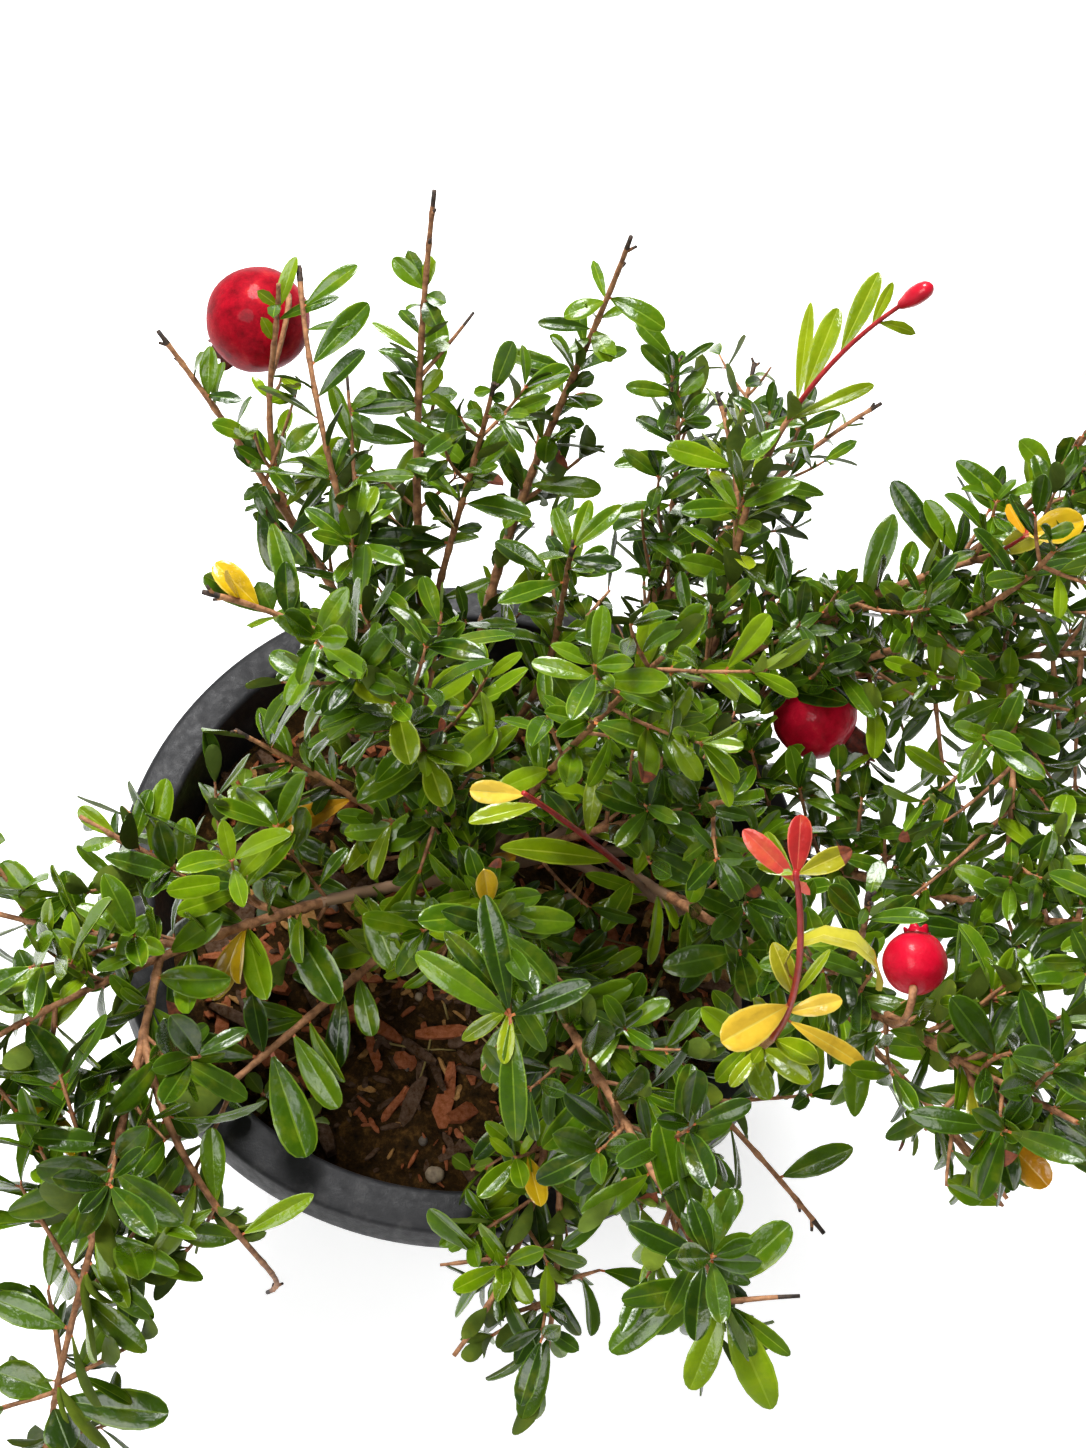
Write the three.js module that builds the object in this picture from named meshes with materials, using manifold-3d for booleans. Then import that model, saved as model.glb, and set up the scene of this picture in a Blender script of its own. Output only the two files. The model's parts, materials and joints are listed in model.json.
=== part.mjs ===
// A dwarf pomegranate shrub in a round grow pot, in millimetres, +Z up.
// The origin is the centre of the pot's flat underside, and +Y is the back of the plant.
import * as THREE from "three";
import { mergeVertices } from "three/addons/utils/BufferGeometryUtils.js";
import Module from "manifold-3d";

const wasm = await Module();
wasm.setup();
const { Manifold, Mesh: SolidMesh } = wasm;

// ---------- driving sizes ----------

const GAP = 0.3; // between solids that meet
const CLEAR = 0.8; // between a twig or leaf and a limb
const WALL_CLEAR = 5; // between foliage and the inside of the pot's wall
const SMALLEST_STEP = 0.02; // finer detail is smoothed off a joined solid
const SMALLEST_GAP = 1e-3; // corners lie on a grid this fine, so near ones are one corner
const NEARLY_ALONG = 0.15; // a sine this small gives no side to count from

const POT = {
  height: 205,
  baseRadius: 86,
  wallTopRadius: 114.5, // outside, just under the lip's band
  wall: 4,
  floor: 4,
  lipRadius: 125,
  lipInnerRadius: 111,
  bandRadius: 128,
  bandDrop: 12,
  bandHeight: 15,
  round: 2,
  sides: 32,
  drainRadius: 6,
  drainCircle: 60,
  drainSides: 8,
  drains: 4,
};

const SOIL = {
  top: 180,
  edgeTop: 175,
  flatRadius: 22,
  mound: 1, // how far its slope bulges over a straight one
  sideGap: 0.4,
};

const TRUNK = {
  azimuth: 60,
  rise: 85,
  length: 32,
  sides: 10,
  // Its radius at each share of its height: the flare of its roots, its waist and the fork.
  outline: [
    [15, 0],
    [10.8, 0.14],
    [8.5, 0.42],
    [9.5, 0.86],
    [6.65, 1],
  ],
};

// Every branch leaves its parent at the share `at` of the parent's length. It starts out at `azimuth`
// from +X towards +Y and at `rise` above level, and by its tip it has swung by `turn` and bent up by
// `bend`, all in degrees. The share `bare` is its bough, and the rest is the stem of its foliage.
// A branch with no bare share is a side shoot in its parent's foliage. The share `end` has no leaves.
const BRANCHES = [
  // name, parent, at, azimuth, rise, length, bend, turn, radius, bare, end
  ["northwest", "trunk", 1, 124, 33, 220, 15, 28, 2.6, 0.22, 0.2],
  ["thin_shoot", "northwest", 0.3, 138, 78, 165, -55, -35, 1.5, 0, 0.12],
  ["fruit_shoot", "northwest", 0.6, 139, 32, 100, 55, -90, 1.6, 0, 0],
  ["upper_west", "northwest", 0.1, 169, 100, 175, -75, 20, 2, 0.2, 0.15],
  ["north_tall", "trunk", 0.9, 118, 33, 245, 30, -31, 2.6, 0.24, 0.25],
  ["north_small", "north_tall", 0.35, 84, 47, 110, 35, -30, 1.5, 0, 0.05],
  ["north", "trunk", 1, 107, 9, 250, 70, -65, 2.8, 0.2, 0.2],
  ["north_mid", "north", 0.15, 22, 42, 130, 60, 90, 1.8, 0.2, 0.05],
  ["northeast", "trunk", 0.95, 12, 30, 215, 0, 110, 2.4, 0.24, 0.15],
  ["bud_shoot", "northeast", 0.7, 97, 59, 120, -10, -85, 1.5, 0, 0.15],
  ["back", "trunk", 0.8, 46, 9, 215, 25, 60, 2.4, 0.26, 0.05],
  ["back_middle", "back", 0.5, 65, 19, 120, -5, 20, 1.5, 0, 0.05],
  ["back_right", "back", 0.4, 70, 28, 155, -25, -30, 1.5, 0, 0.25],
  ["east_high", "trunk", 0.9, 50, 35, 255, 0, -50, 2.7, 0.24, 0],
  ["east_top", "east_high", 0.6, 20, 3, 130, 85, 20, 1.6, 0, 0],
  ["east_middle", "east_high", 0.2, 35, 8, 215, 75, -60, 2.2, 0.16, 0],
  ["east", "trunk", 0.8, 59, 2, 295, 55, -100, 2.8, 0.24, 0],
  ["east_drop", "east", 0.75, -93, 45, 105, -55, 0, 1.5, 0, 0],
  ["southeast", "trunk", 1, 27, -9, 315, 95, -110, 2.8, 0.2, 0],
  ["southeast_near", "southeast", 0.15, -47, 41, 240, 0, 5, 2.2, 0.2, 0],
  ["southeast_tip", "southeast_near", 0.65, -32, 54, 90, -75, -50, 1.5, 0, 0],
  ["small_fruit_shoot", "southeast_near", 0.55, -40, 75, 75, 30, 0, 1.5, 0, 0.2],
  ["southeast_low", "southeast", 0.1, -17, 11, 200, -5, -35, 2.2, 0.45, 0],
  ["coral", "southeast_low", 0.4, -105, 31, 230, 95, 55, 1.8, 0.35, 0.15],
  ["red_stem", "southeast_low", 0.2, -145, 70, 160, -5, 0, 1.6, 0.3, 0],
  ["south_near", "trunk", 0.95, -63, 47, 215, -35, 5, 2.4, 0.24, 0],
  ["south_twig", "south_near", 0.2, -36, 19, 150, -35, -5, 1.6, 0.25, 0.3],
  ["south", "trunk", 0.8, -46, 14, 185, -15, -75, 2.2, 0.28, 0],
  ["south_drop", "south", 0.4, -73, 17, 115, -60, -20, 1.5, 0, 0],
  ["south_up", "trunk", 1, -82, 66, 175, -15, 10, 2, 0.28, 0],
  ["west", "trunk", 0.9, -151, 31, 205, -30, 15, 2.8, 0.3, 0],
  ["west_up", "west", 0.38, 174, 22, 75, 0, -10, 1.5, 0, 0],
  ["west_back", "west", 0.55, -175, 5, 85, -5, -15, 1.5, 0, 0],
  ["west_drop", "west", 0.6, -85, 22, 190, -100, -25, 1.7, 0, 0],
  ["southwest_tip", "west_drop", 0.15, -72, 18, 140, -130, 70, 1.4, 0, 0.4],
  ["southwest", "trunk", 0.8, -122, 22, 165, -30, -10, 2.2, 0.26, 0.1],
  ["inner_west", "trunk", 0.7, 166, 47, 115, -5, 15, 1.8, 0.25, 0.05],
  ["centre", "trunk", 1, 20, 74, 165, -5, -15, 1.8, 0.24, 0],
  ["centre_left", "trunk", 1, -165, 84, 145, -10, 10, 1.8, 0.24, 0],
  ["centre_right", "trunk", 0.95, 8, 50, 150, 15, -45, 1.8, 0.24, 0],
];
const ARC_STEPS = 24;
const BOUGH_SIDES = 5;
const BOUGH_STEPS = 3;
const STEM_TIP_RADIUS = 0.9;
const STEM_STEP = 28;
const TWIG_SIDES = 3;

// The seeded rule: nodes along each stem bear an opposite pair, a quarter turn on from the last pair.
const RULE = {
  nodeGap: 35,
  firstNode: 10,
  twigChance: 0.4,
  twigLean: 55,
  twigMin: 26,
  twigMax: 52,
  twigBend: 25, // how far a twig turns up by its tip
  twigSteps: 2,
  twigPair: 0.55, // the share of its length at which a twig bears its first pair
  twigChecks: [0.3, 0.5, 0.7, 0.85, 1], // the shares of its length that must lie in its own space
  twigRadius: 0.75,
  twigTipRadius: 0.6,
  leafLean: 52,
  leafLeanSpread: 24,
  tipLeafLean: 32,
  quarterTurn: 90,
  turnSpread: 40,
  sink: 2.5, // how far back along a twig the roots of its last leaves are sunk
};
const LEAF = {
  length: 38,
  width: 13.5,
  thickness: 1.3,
  neck: 0.12, // the share of its length next to its root
  smallest: 0.78,
  spread: 0.4,
  toLight: 0.9,
  sizes: [1, 0.72], // the second is for a leaf that doesn't fit at its full size
};
const SEED = 311; // the first foliage's dice, and each next one's is one more
const REACH = 75; // the furthest that a leaf's point lies from its own foliage's stems
const SHARE = 1.2; // how much nearer than half way a point stays to its own stems

// A fruit hangs off `branch` at the share `at`: its centre is `offset` away, and its crown of
// calyx teeth points along `axis`. Its stalk enters at the opposite pole.
const FRUITS = [
  { branch: "fruit_shoot", at: 0.98, offset: [-15, 3, -22], radius: 17, axis: [-0.47, -0.79, -0.4] },
  { branch: "east_middle", at: 0.5, offset: [16, -26, 4], radius: 15.5, axis: [0.98, -0.19, -0.1] },
  { branch: "small_fruit_shoot", at: 1, offset: [1, 5, 9], radius: 8.5, axis: [0.12, 0.67, 0.73] },
];
const FRUIT = {
  around: 7,
  rows: 5,
  stalkRadius: 1.1,
  stalkDepth: 0.7, // how near the centre its stalk ends, and the next four, over its radius
  neck: 0.3,
  neckFoot: 0.8,
  crown: 0.42,
  crownLength: 0.5,
};
const BUD = { branch: "bud_shoot", length: 17, width: 7.5, sunk: 0.2 };

const FINISHES = {
  pot: { color: 0x2e3034, roughness: 0.6 },
  soil: { color: 0x2c1c14, roughness: 1 },
  trunk: { color: 0x7a5a40, roughness: 0.85 },
  bough: { color: 0x8a6644, roughness: 0.8 },
  foliage: { color: 0x2f6b26, roughness: 0.45 },
  youngFoliage: { color: 0x7f9a2c, roughness: 0.45 },
};
const YOUNG = ["coral", "red_stem"];

// ---------- small helpers ----------

const UP = new THREE.Vector3(0, 0, 1);
const radians = THREE.MathUtils.degToRad;

function heading(azimuth, rise) {
  const level = Math.cos(radians(rise));
  return new THREE.Vector3(
    Math.cos(radians(azimuth)) * level,
    Math.sin(radians(azimuth)) * level,
    Math.sin(radians(rise)),
  );
}

// A repeatable row of numbers from 0 to 1.
function makeDice(seed) {
  let state = seed >>> 0;
  return () => {
    state = (Math.imul(state, 1664525) + 1013904223) >>> 0;
    return state / 2 ** 32;
  };
}

function solidOf(geometry) {
  const bare = geometry.index ? geometry.toNonIndexed() : geometry.clone();
  bare.deleteAttribute("normal");
  bare.deleteAttribute("uv");
  const merged = mergeVertices(bare, SMALLEST_GAP / 4);
  return new Manifold(
    new SolidMesh({
      numProp: 3,
      vertProperties: merged.attributes.position.array,
      triVerts: new Uint32Array(merged.index.array),
    }),
  );
}

function geometryOf(solid) {
  const { vertProperties, triVerts } = solid.getMesh();
  const snapped = vertProperties.map((size) => Math.round(size / SMALLEST_GAP) * SMALLEST_GAP);
  const geometry = new THREE.BufferGeometry();
  geometry.setAttribute("position", new THREE.BufferAttribute(snapped, 3));
  geometry.setIndex(new THREE.BufferAttribute(triVerts, 1));
  geometry.computeVertexNormals();
  return geometry;
}

function boxesMeet(a, b) {
  return [0, 1, 2].every((i) => a.min[i] < b.max[i] && b.min[i] < a.max[i]);
}

// The biggest piece of a solid: what a cut leaves loose is dropped, and a sealed hollow is filled.
function biggest(solid) {
  const pieces = solidOf(geometryOf(solid.simplify(SMALLEST_STEP))).decompose();
  return pieces.reduce((best, piece) => (piece.volume() > best.volume() ? piece : best));
}

const group = new THREE.Group();

function addPart(name, solid, finish) {
  const material = new THREE.MeshStandardMaterial({ ...finish, metalness: 0 });
  const mesh = new THREE.Mesh(geometryOf(solid), material);
  mesh.name = name;
  group.add(mesh);
}

// ---------- arcs ----------

// The points of an arc that leaves `start` by the rule written over BRANCHES.
function arcPoints(start, branch) {
  const points = [start.clone()];
  for (let i = 0; i < ARC_STEPS; i++) {
    const t = (i + 0.5) / ARC_STEPS;
    const step = heading(branch.azimuth + branch.turn * t, branch.rise + branch.bend * t);
    points.push(points[i].clone().addScaledVector(step, branch.length / ARC_STEPS));
  }
  return points;
}

// A side twig as an arc that leaves `root` along `direction` and turns up.
function sprout(root, direction, length) {
  const azimuth = THREE.MathUtils.radToDeg(Math.atan2(direction.y, direction.x));
  const rise = THREE.MathUtils.radToDeg(Math.asin(direction.z));
  const { twigBend, twigRadius, twigTipRadius } = RULE;
  const twig = { azimuth, rise, length, bend: twigBend, turn: 0 };
  twig.radii = [twigRadius, twigTipRadius];
  twig.points = arcPoints(root, twig);
  return twig;
}

function pointAt(branch, share) {
  const place = THREE.MathUtils.clamp(share, 0, 1) * ARC_STEPS;
  const i = Math.min(Math.floor(place), ARC_STEPS - 1);
  return branch.points[i].clone().lerp(branch.points[i + 1], place - i);
}

function headingAt(branch, share) {
  return heading(branch.azimuth + branch.turn * share, branch.rise + branch.bend * share);
}

// A limb's radius tapers evenly between the two in its `radii`, from its foot to its tip.
function radiusAt(limb, share) {
  return THREE.MathUtils.lerp(limb.radii[0], limb.radii[1], share);
}

// A tapering tube of flat sides round the stretch of a branch between two shares of its length,
// wider all round by `extra`.
function limbGeometry(branch, from, to, steps, sides, extra = 0) {
  const radiusFrom = radiusAt(branch, from) + extra;
  const radiusTo = radiusAt(branch, to) + extra;
  const geometry = new THREE.CylinderGeometry(radiusTo, radiusFrom, 1, sides, steps);
  const place = geometry.attributes.position;
  let side = new THREE.Vector3().crossVectors(headingAt(branch, from), UP).normalize();
  const frames = [];
  for (let k = 0; k <= steps; k++) {
    const share = from + ((to - from) * k) / steps;
    const along = headingAt(branch, share);
    side = side.clone().addScaledVector(along, -side.dot(along)).normalize();
    frames.push({ centre: pointAt(branch, share), side, front: along.clone().cross(side) });
  }
  for (let i = 0; i < place.count; i++) {
    const { centre, side: x, front } = frames[Math.round((place.getY(i) + 0.5) * steps)];
    const point = centre.clone().addScaledVector(x, place.getX(i));
    point.addScaledVector(front, -place.getZ(i));
    place.setXYZ(i, point.x, point.y, point.z);
  }
  return geometry;
}

// A straight three-sided stalk between two points.
function stalkGeometry(from, to) {
  const length = from.distanceTo(to);
  const { stalkRadius } = FRUIT;
  const geometry = new THREE.CylinderGeometry(stalkRadius, stalkRadius, length, TWIG_SIDES, 1);
  geometry.translate(0, length / 2, 0);
  const turn = new THREE.Quaternion().setFromUnitVectors(
    new THREE.Vector3(0, 1, 0),
    to.clone().sub(from).normalize(),
  );
  geometry.applyQuaternion(turn);
  return geometry.translate(from.x, from.y, from.z);
}

// ---------- pot and soil ----------

// A profile of [radius, height] pairs, from the axis and back to it, turned round +Z.
function turned(profile, sides) {
  const points = profile.map(([radius, height]) => new THREE.Vector2(radius, height));
  return solidOf(new THREE.LatheGeometry(points, sides).rotateX(Math.PI / 2));
}

function cavityRadius(height) {
  const underBand = POT.height - POT.bandHeight;
  const slope = (POT.wallTopRadius - POT.baseRadius) / underBand;
  return POT.baseRadius - POT.wall + slope * height;
}

function makePot() {
  const { height, round, bandRadius, lipRadius, lipInnerRadius } = POT;
  const bandFoot = height - POT.bandHeight;
  const body = turned(
    [
      [0, 0],
      [POT.baseRadius - round, 0],
      [POT.baseRadius, round],
      [POT.wallTopRadius, bandFoot],
      [bandRadius - round, bandFoot],
      [bandRadius, height - POT.bandDrop],
      [lipRadius, height - round],
      [lipRadius - round, height],
      [lipInnerRadius + round, height],
      [lipInnerRadius, height - round],
      [cavityRadius(bandFoot), bandFoot],
      [cavityRadius(POT.floor), POT.floor],
      [0, POT.floor],
    ],
    POT.sides,
  );
  const drains = [];
  for (let k = 0; k < POT.drains; k++) {
    const angle = (2 * Math.PI * (k + 0.5)) / POT.drains;
    const { drainRadius, drainSides, drainCircle, floor } = POT;
    const drain = new THREE.CylinderGeometry(drainRadius, drainRadius, 3 * floor, drainSides);
    drain.rotateX(Math.PI / 2);
    drain.translate(drainCircle * Math.cos(angle), drainCircle * Math.sin(angle), 0);
    drains.push(solidOf(drain));
  }
  return body.subtract(Manifold.union(drains));
}

function makeSoil() {
  const { top, edgeTop, flatRadius, mound, sideGap } = SOIL;
  const foot = POT.floor + GAP;
  return turned(
    [
      [0, foot],
      [cavityRadius(foot) - sideGap, foot],
      [cavityRadius(edgeTop) - sideGap, edgeTop],
      [(cavityRadius(edgeTop) + flatRadius) / 2, (edgeTop + top) / 2 + mound],
      [flatRadius, top],
      [0, top],
    ],
    POT.sides,
  );
}

// Whether a point keeps clear of the pot's wall and lip, the soil and the ground.
function clearOfPot(point) {
  const out = Math.hypot(point.x, point.y);
  if (point.z > POT.height + CLEAR) return true;
  if (out < POT.lipInnerRadius - WALL_CLEAR) return point.z > SOIL.top + CLEAR;
  return out > POT.bandRadius + CLEAR && point.z > CLEAR;
}

// ---------- trunk and boughs ----------

const trunk = { ...TRUNK, bend: 0, turn: 0 };
trunk.points = arcPoints(new THREE.Vector3(0, 0, SOIL.top + GAP), trunk);

// The trunk, cut flat at the soil and leaning by a shear, wider all round by `extra`.
function trunkSolid(extra) {
  const along = headingAt(trunk, 0);
  const lean = new THREE.Matrix4().makeShear(0, 0, 0, 0, along.x / along.z, along.y / along.z);
  const foot = trunk.points[0];
  const tall = pointAt(trunk, 1).z - foot.z + extra;
  const profile = TRUNK.outline.map(([radius, share]) => {
    return [radius + extra, share > 0 ? share * tall : -extra];
  });
  const closed = [[0, -extra], ...profile, [0, tall]];
  const points = closed.map(([radius, height]) => new THREE.Vector2(radius, height));
  const geometry = new THREE.LatheGeometry(points, TRUNK.sides).rotateX(Math.PI / 2);
  return solidOf(geometry.applyMatrix4(lean).translate(foot.x, foot.y, foot.z));
}

const branches = new Map([["trunk", trunk]]);
for (const row of BRANCHES) {
  const [name, parent, at, azimuth, rise, length, bend, turn, radius, bare, end] = row;
  const branch = { name, parent, at, azimuth, rise, length, bend, turn, bare, end };
  branch.points = arcPoints(pointAt(branches.get(parent), at), branch);
  branch.radii = [radius, STEM_TIP_RADIUS];
  branches.set(name, branch);
}
const bearing = [...branches.values()].filter((branch) => branch.name && branch.bare > 0);

function boughSolid(branch, extra) {
  const end = branch.bare + extra / branch.length;
  return solidOf(limbGeometry(branch, 0, end, BOUGH_STEPS, BOUGH_SIDES, extra));
}

const boughs = new Map();
let standing = trunkSolid(GAP); // the limbs so far, each grown by the gap
for (const branch of bearing) {
  boughs.set(branch.name, biggest(boughSolid(branch, 0).subtract(standing)));
  standing = standing.add(boughSolid(branch, GAP));
}

// ---------- foliage ----------

// The foliage that a branch belongs to is named after the branch that bears it.
function foliageOf(branch) {
  return branch.bare > 0 ? branch.name : foliageOf(branches.get(branch.parent));
}

// Where a branch's leafy stem starts: past its bough, or at its parent's middle.
function stemStart(branch) {
  return branch.bare > 0 ? branch.bare + GAP / branch.length : 0;
}

function stemSteps(branch) {
  return Math.max(2, Math.round(((1 - stemStart(branch)) * branch.length) / STEM_STEP));
}

const stemsOf = new Map(bearing.map((branch) => [branch.name, []]));
for (const branch of branches.values()) {
  if (branch.name) stemsOf.get(foliageOf(branch)).push(branch);
}

// Each foliage's guide is the middle line of all its stems.
const guides = new Map();
for (const [name, stems] of stemsOf) {
  const lines = [];
  for (const branch of stems) {
    const steps = stemSteps(branch);
    const from = stemStart(branch);
    for (let k = 0; k < steps; k++) {
      const start = pointAt(branch, from + ((1 - from) * k) / steps);
      const end = pointAt(branch, from + ((1 - from) * (k + 1)) / steps);
      lines.push(new THREE.Line3(start, end));
    }
  }
  guides.set(name, lines);
}

const nearest = new THREE.Vector3();
function distanceTo(name, point) {
  let best = Infinity;
  for (const line of guides.get(name)) {
    line.closestPointToPoint(point, true, nearest);
    best = Math.min(best, nearest.distanceTo(point));
  }
  return best;
}

// A foliage's space is all that lies nearer to its own stems than to any other foliage's.
function inSpace(name, points) {
  return points.every((point) => {
    if (!clearOfPot(point)) return false;
    const own = distanceTo(name, point);
    if (own > REACH) return false;
    for (const other of guides.keys()) {
      if (other !== name && distanceTo(other, point) < own + 2 * SHARE) return false;
    }
    return true;
  });
}

const fruits = FRUITS.map((fruit) => {
  const foot = pointAt(branches.get(fruit.branch), fruit.at);
  const centre = foot.clone().add(new THREE.Vector3(...fruit.offset));
  const axis = new THREE.Vector3(...fruit.axis).normalize();
  return { ...fruit, foot, centre, axis };
});

// A round fruit with a flared crown at its far pole, wider all round by `extra`.
function fruitSolids({ centre, radius, axis }, extra) {
  const turn = new THREE.Quaternion().setFromUnitVectors(new THREE.Vector3(0, 1, 0), axis);
  const { around, rows, neck, neckFoot, crown, crownLength } = FRUIT;
  const profile = [
    [0, neckFoot * radius],
    [neck * radius + extra, neckFoot * radius],
    [crown * radius + extra, (1 + crownLength) * radius + extra],
    [0, (1 + crownLength / 3) * radius + extra],
  ].map(([out, up]) => new THREE.Vector2(out, up));
  return [
    new THREE.SphereGeometry(radius + extra, around, rows),
    new THREE.LatheGeometry(profile, around - 1),
  ].map((geometry) => {
    geometry.applyQuaternion(turn);
    return solidOf(geometry.translate(centre.x, centre.y, centre.z));
  });
}

// Limbs and fruit as leaves have to clear them.
const inTheWay = Manifold.union([
  trunkSolid(CLEAR),
  ...bearing.map((branch) => boughSolid(branch, CLEAR)),
  ...fruits.flatMap((fruit) => fruitSolids(fruit, CLEAR)),
]);

function leafGeometry(root, direction, facing, scale) {
  const length = LEAF.length * scale;
  const side = new THREE.Vector3().crossVectors(facing, direction).normalize();
  const normal = new THREE.Vector3().crossVectors(direction, side);
  const blade = new THREE.OctahedronGeometry(1, 0);
  blade.scale((LEAF.width * scale) / 2, LEAF.thickness / 2, length / 2);
  blade.translate(0, 0, length / 2);
  blade.applyMatrix4(new THREE.Matrix4().makeBasis(side, normal, direction));
  return blade.translate(root.x, root.y, root.z);
}

// Points all over a leaf's outline, for the space rule.
function leafPoints(root, direction, facing, scale) {
  const side = new THREE.Vector3().crossVectors(facing, direction).normalize();
  const length = LEAF.length * scale;
  const half = (LEAF.width * scale) / 2;
  const at = (along, across) =>
    root.clone().addScaledVector(direction, along * length).addScaledVector(side, across * half);
  const outline = [at(1, 0)];
  for (const along of [0.25, 0.5, 0.75]) {
    const edge = 1 - Math.abs(2 * along - 1); // the blade is widest half way along
    for (const across of [-edge, 0, edge]) outline.push(at(along, across));
  }
  return outline;
}

// The direction at `lean` degrees from `along`, towards `side`.
function leaning(along, side, lean) {
  const direction = along.clone().multiplyScalar(Math.cos(radians(lean)));
  return direction.addScaledVector(side, Math.sin(radians(lean)));
}

// The side of a twig at an angle round it, counted from a level line.
function sideOf(along, angle) {
  const level = new THREE.Vector3().crossVectors(along, UP);
  if (level.length() < NEARLY_ALONG) level.set(1, 0, 0).addScaledVector(along, -along.x);
  return level.normalize().applyAxisAngle(along, radians(angle));
}

class Foliage {
  constructor(name, seed) {
    this.name = name;
    this.roll = makeDice(seed);
    this.pieces = [];
    this.blades = []; // the outer parts of its leaves
  }

  // Whether a piece would touch a limb, a fruit or a leaf that is already there.
  blocked(piece) {
    const box = piece.boundingBox();
    const near = this.blades.filter((blade) => boxesMeet(box, blade.boundingBox()));
    return [inTheWay, ...near].some((other) => !other.intersect(piece).isEmpty());
  }

  // A leaf whose root is sunk to the middle line of a stem or twig, at a share of that limb's length.
  leaf(limb, share, side, lean) {
    const along = headingAt(limb, share);
    const spread = (this.roll() - 0.5) * RULE.leafLeanSpread;
    const scale = LEAF.smallest + LEAF.spread * this.roll();
    const direction = leaning(along, side, lean + spread).normalize();
    const facing = leaning(along, side, lean + spread - RULE.quarterTurn);
    facing.addScaledVector(UP, LEAF.toLight);
    facing.addScaledVector(direction, -facing.dot(direction));
    if (facing.length() < NEARLY_ALONG) return;
    facing.normalize();
    const root = pointAt(limb, share);
    LEAF.sizes.some((size) => this.placed(root, direction, facing, scale * size));
  }

  // Adds a leaf and says so, or leaves it out where it would leave the space or touch something.
  placed(root, direction, facing, scale) {
    if (!inSpace(this.name, leafPoints(root, direction, facing, scale))) return false;
    const blade = root.clone().addScaledVector(direction, LEAF.length * LEAF.neck);
    const outer = solidOf(leafGeometry(blade, direction, facing, scale * (1 - LEAF.neck)));
    if (this.blocked(outer)) return false;
    this.blades.push(outer);
    this.pieces.push(solidOf(leafGeometry(root, direction, facing, scale)));
    return true;
  }

  pair(limb, share, angle, lean) {
    for (const way of [0, 2]) {
      const side = sideOf(headingAt(limb, share), angle + way * RULE.quarterTurn);
      this.leaf(limb, share, side, lean);
    }
  }

  // A side twig on an arc of its own, with a pair of leaves past its middle and three at its tip.
  twig(root, along, side) {
    const length = RULE.twigMin + (RULE.twigMax - RULE.twigMin) * this.roll();
    const angle = this.roll() * 2 * RULE.quarterTurn;
    const twig = sprout(root, leaning(along, side, RULE.twigLean), length);
    const checks = RULE.twigChecks.map((share) => pointAt(twig, share));
    if (!inSpace(this.name, checks)) return;
    const solid = solidOf(limbGeometry(twig, 0, 1, RULE.twigSteps, TWIG_SIDES));
    if (this.blocked(solid)) return;
    this.pieces.push(solid);
    this.pair(twig, RULE.twigPair, angle, RULE.leafLean);
    const last = 1 - RULE.sink / length;
    this.pair(twig, last, angle + RULE.quarterTurn, RULE.leafLean);
    this.leaf(twig, last, sideOf(headingAt(twig, last), angle), 0);
  }

  stem(branch) {
    const from = stemStart(branch);
    this.pieces.push(solidOf(limbGeometry(branch, from, 1, stemSteps(branch), TWIG_SIDES)));
    const first = from + RULE.firstNode / branch.length;
    const last = 1 - branch.end;
    const nodes = Math.max(1, Math.round(((last - first) * branch.length) / RULE.nodeGap));
    let angle = this.roll() * 4 * RULE.quarterTurn;
    for (let k = 0; k < nodes; k++) {
      const share = first + ((last - first) * k) / nodes;
      const root = pointAt(branch, share);
      const along = headingAt(branch, share);
      for (const way of [0, 2]) {
        const side = sideOf(along, angle + way * RULE.quarterTurn);
        if (this.roll() < RULE.twigChance) this.twig(root, along, side);
        else this.leaf(branch, share, side, RULE.leafLean);
      }
      angle += RULE.quarterTurn + (this.roll() - 0.5) * RULE.turnSpread;
    }
    const tip = last - RULE.sink / branch.length;
    this.pair(branch, tip, angle, RULE.tipLeafLean);
    if (branch.end === 0) this.leaf(branch, tip, sideOf(headingAt(branch, tip), angle), 0);
  }

  // A fruit whose stalk runs from its branch into the pole across from the crown.
  fruit(fruit) {
    const { foot, centre, radius, axis } = fruit;
    const stalkEnd = centre.clone().addScaledVector(axis, -FRUIT.stalkDepth * radius);
    this.pieces.push(...fruitSolids(fruit, 0), solidOf(stalkGeometry(foot, stalkEnd)));
  }

  // A long closed flower bud in line with the tip of its shoot.
  bud(branch) {
    const { length, width, sunk } = BUD;
    const along = headingAt(branch, 1);
    const root = pointAt(branch, 1).addScaledVector(along, -sunk * length);
    const turn = new THREE.Quaternion().setFromUnitVectors(new THREE.Vector3(0, 1, 0), along);
    const bud = new THREE.OctahedronGeometry(1, 0).scale(width / 2, length / 2, width / 2);
    bud.translate(0, length / 2, 0).applyQuaternion(turn);
    this.pieces.push(solidOf(bud.translate(root.x, root.y, root.z)));
  }

  solid() {
    return biggest(Manifold.union(this.pieces));
  }
}

function makeFoliage(name, seed) {
  const foliage = new Foliage(name, seed);
  for (const branch of stemsOf.get(name)) {
    foliage.stem(branch);
    for (const fruit of fruits) {
      if (fruit.branch === branch.name) foliage.fruit(fruit);
    }
    if (BUD.branch === branch.name) foliage.bud(branch);
  }
  return foliage.solid();
}

// ---------- the whole plant ----------

addPart("pot", makePot(), FINISHES.pot);
addPart("soil", makeSoil(), FINISHES.soil);
addPart("trunk", trunkSolid(0), FINISHES.trunk);
for (const [name, solid] of boughs) {
  addPart(`bough_${name}`, solid, FINISHES.bough);
}
bearing.forEach(({ name }, index) => {
  const finish = YOUNG.includes(name) ? FINISHES.youngFoliage : FINISHES.foliage;
  addPart(`foliage_${name}`, makeFoliage(name, SEED + index), finish);
});

export default group;
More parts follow.
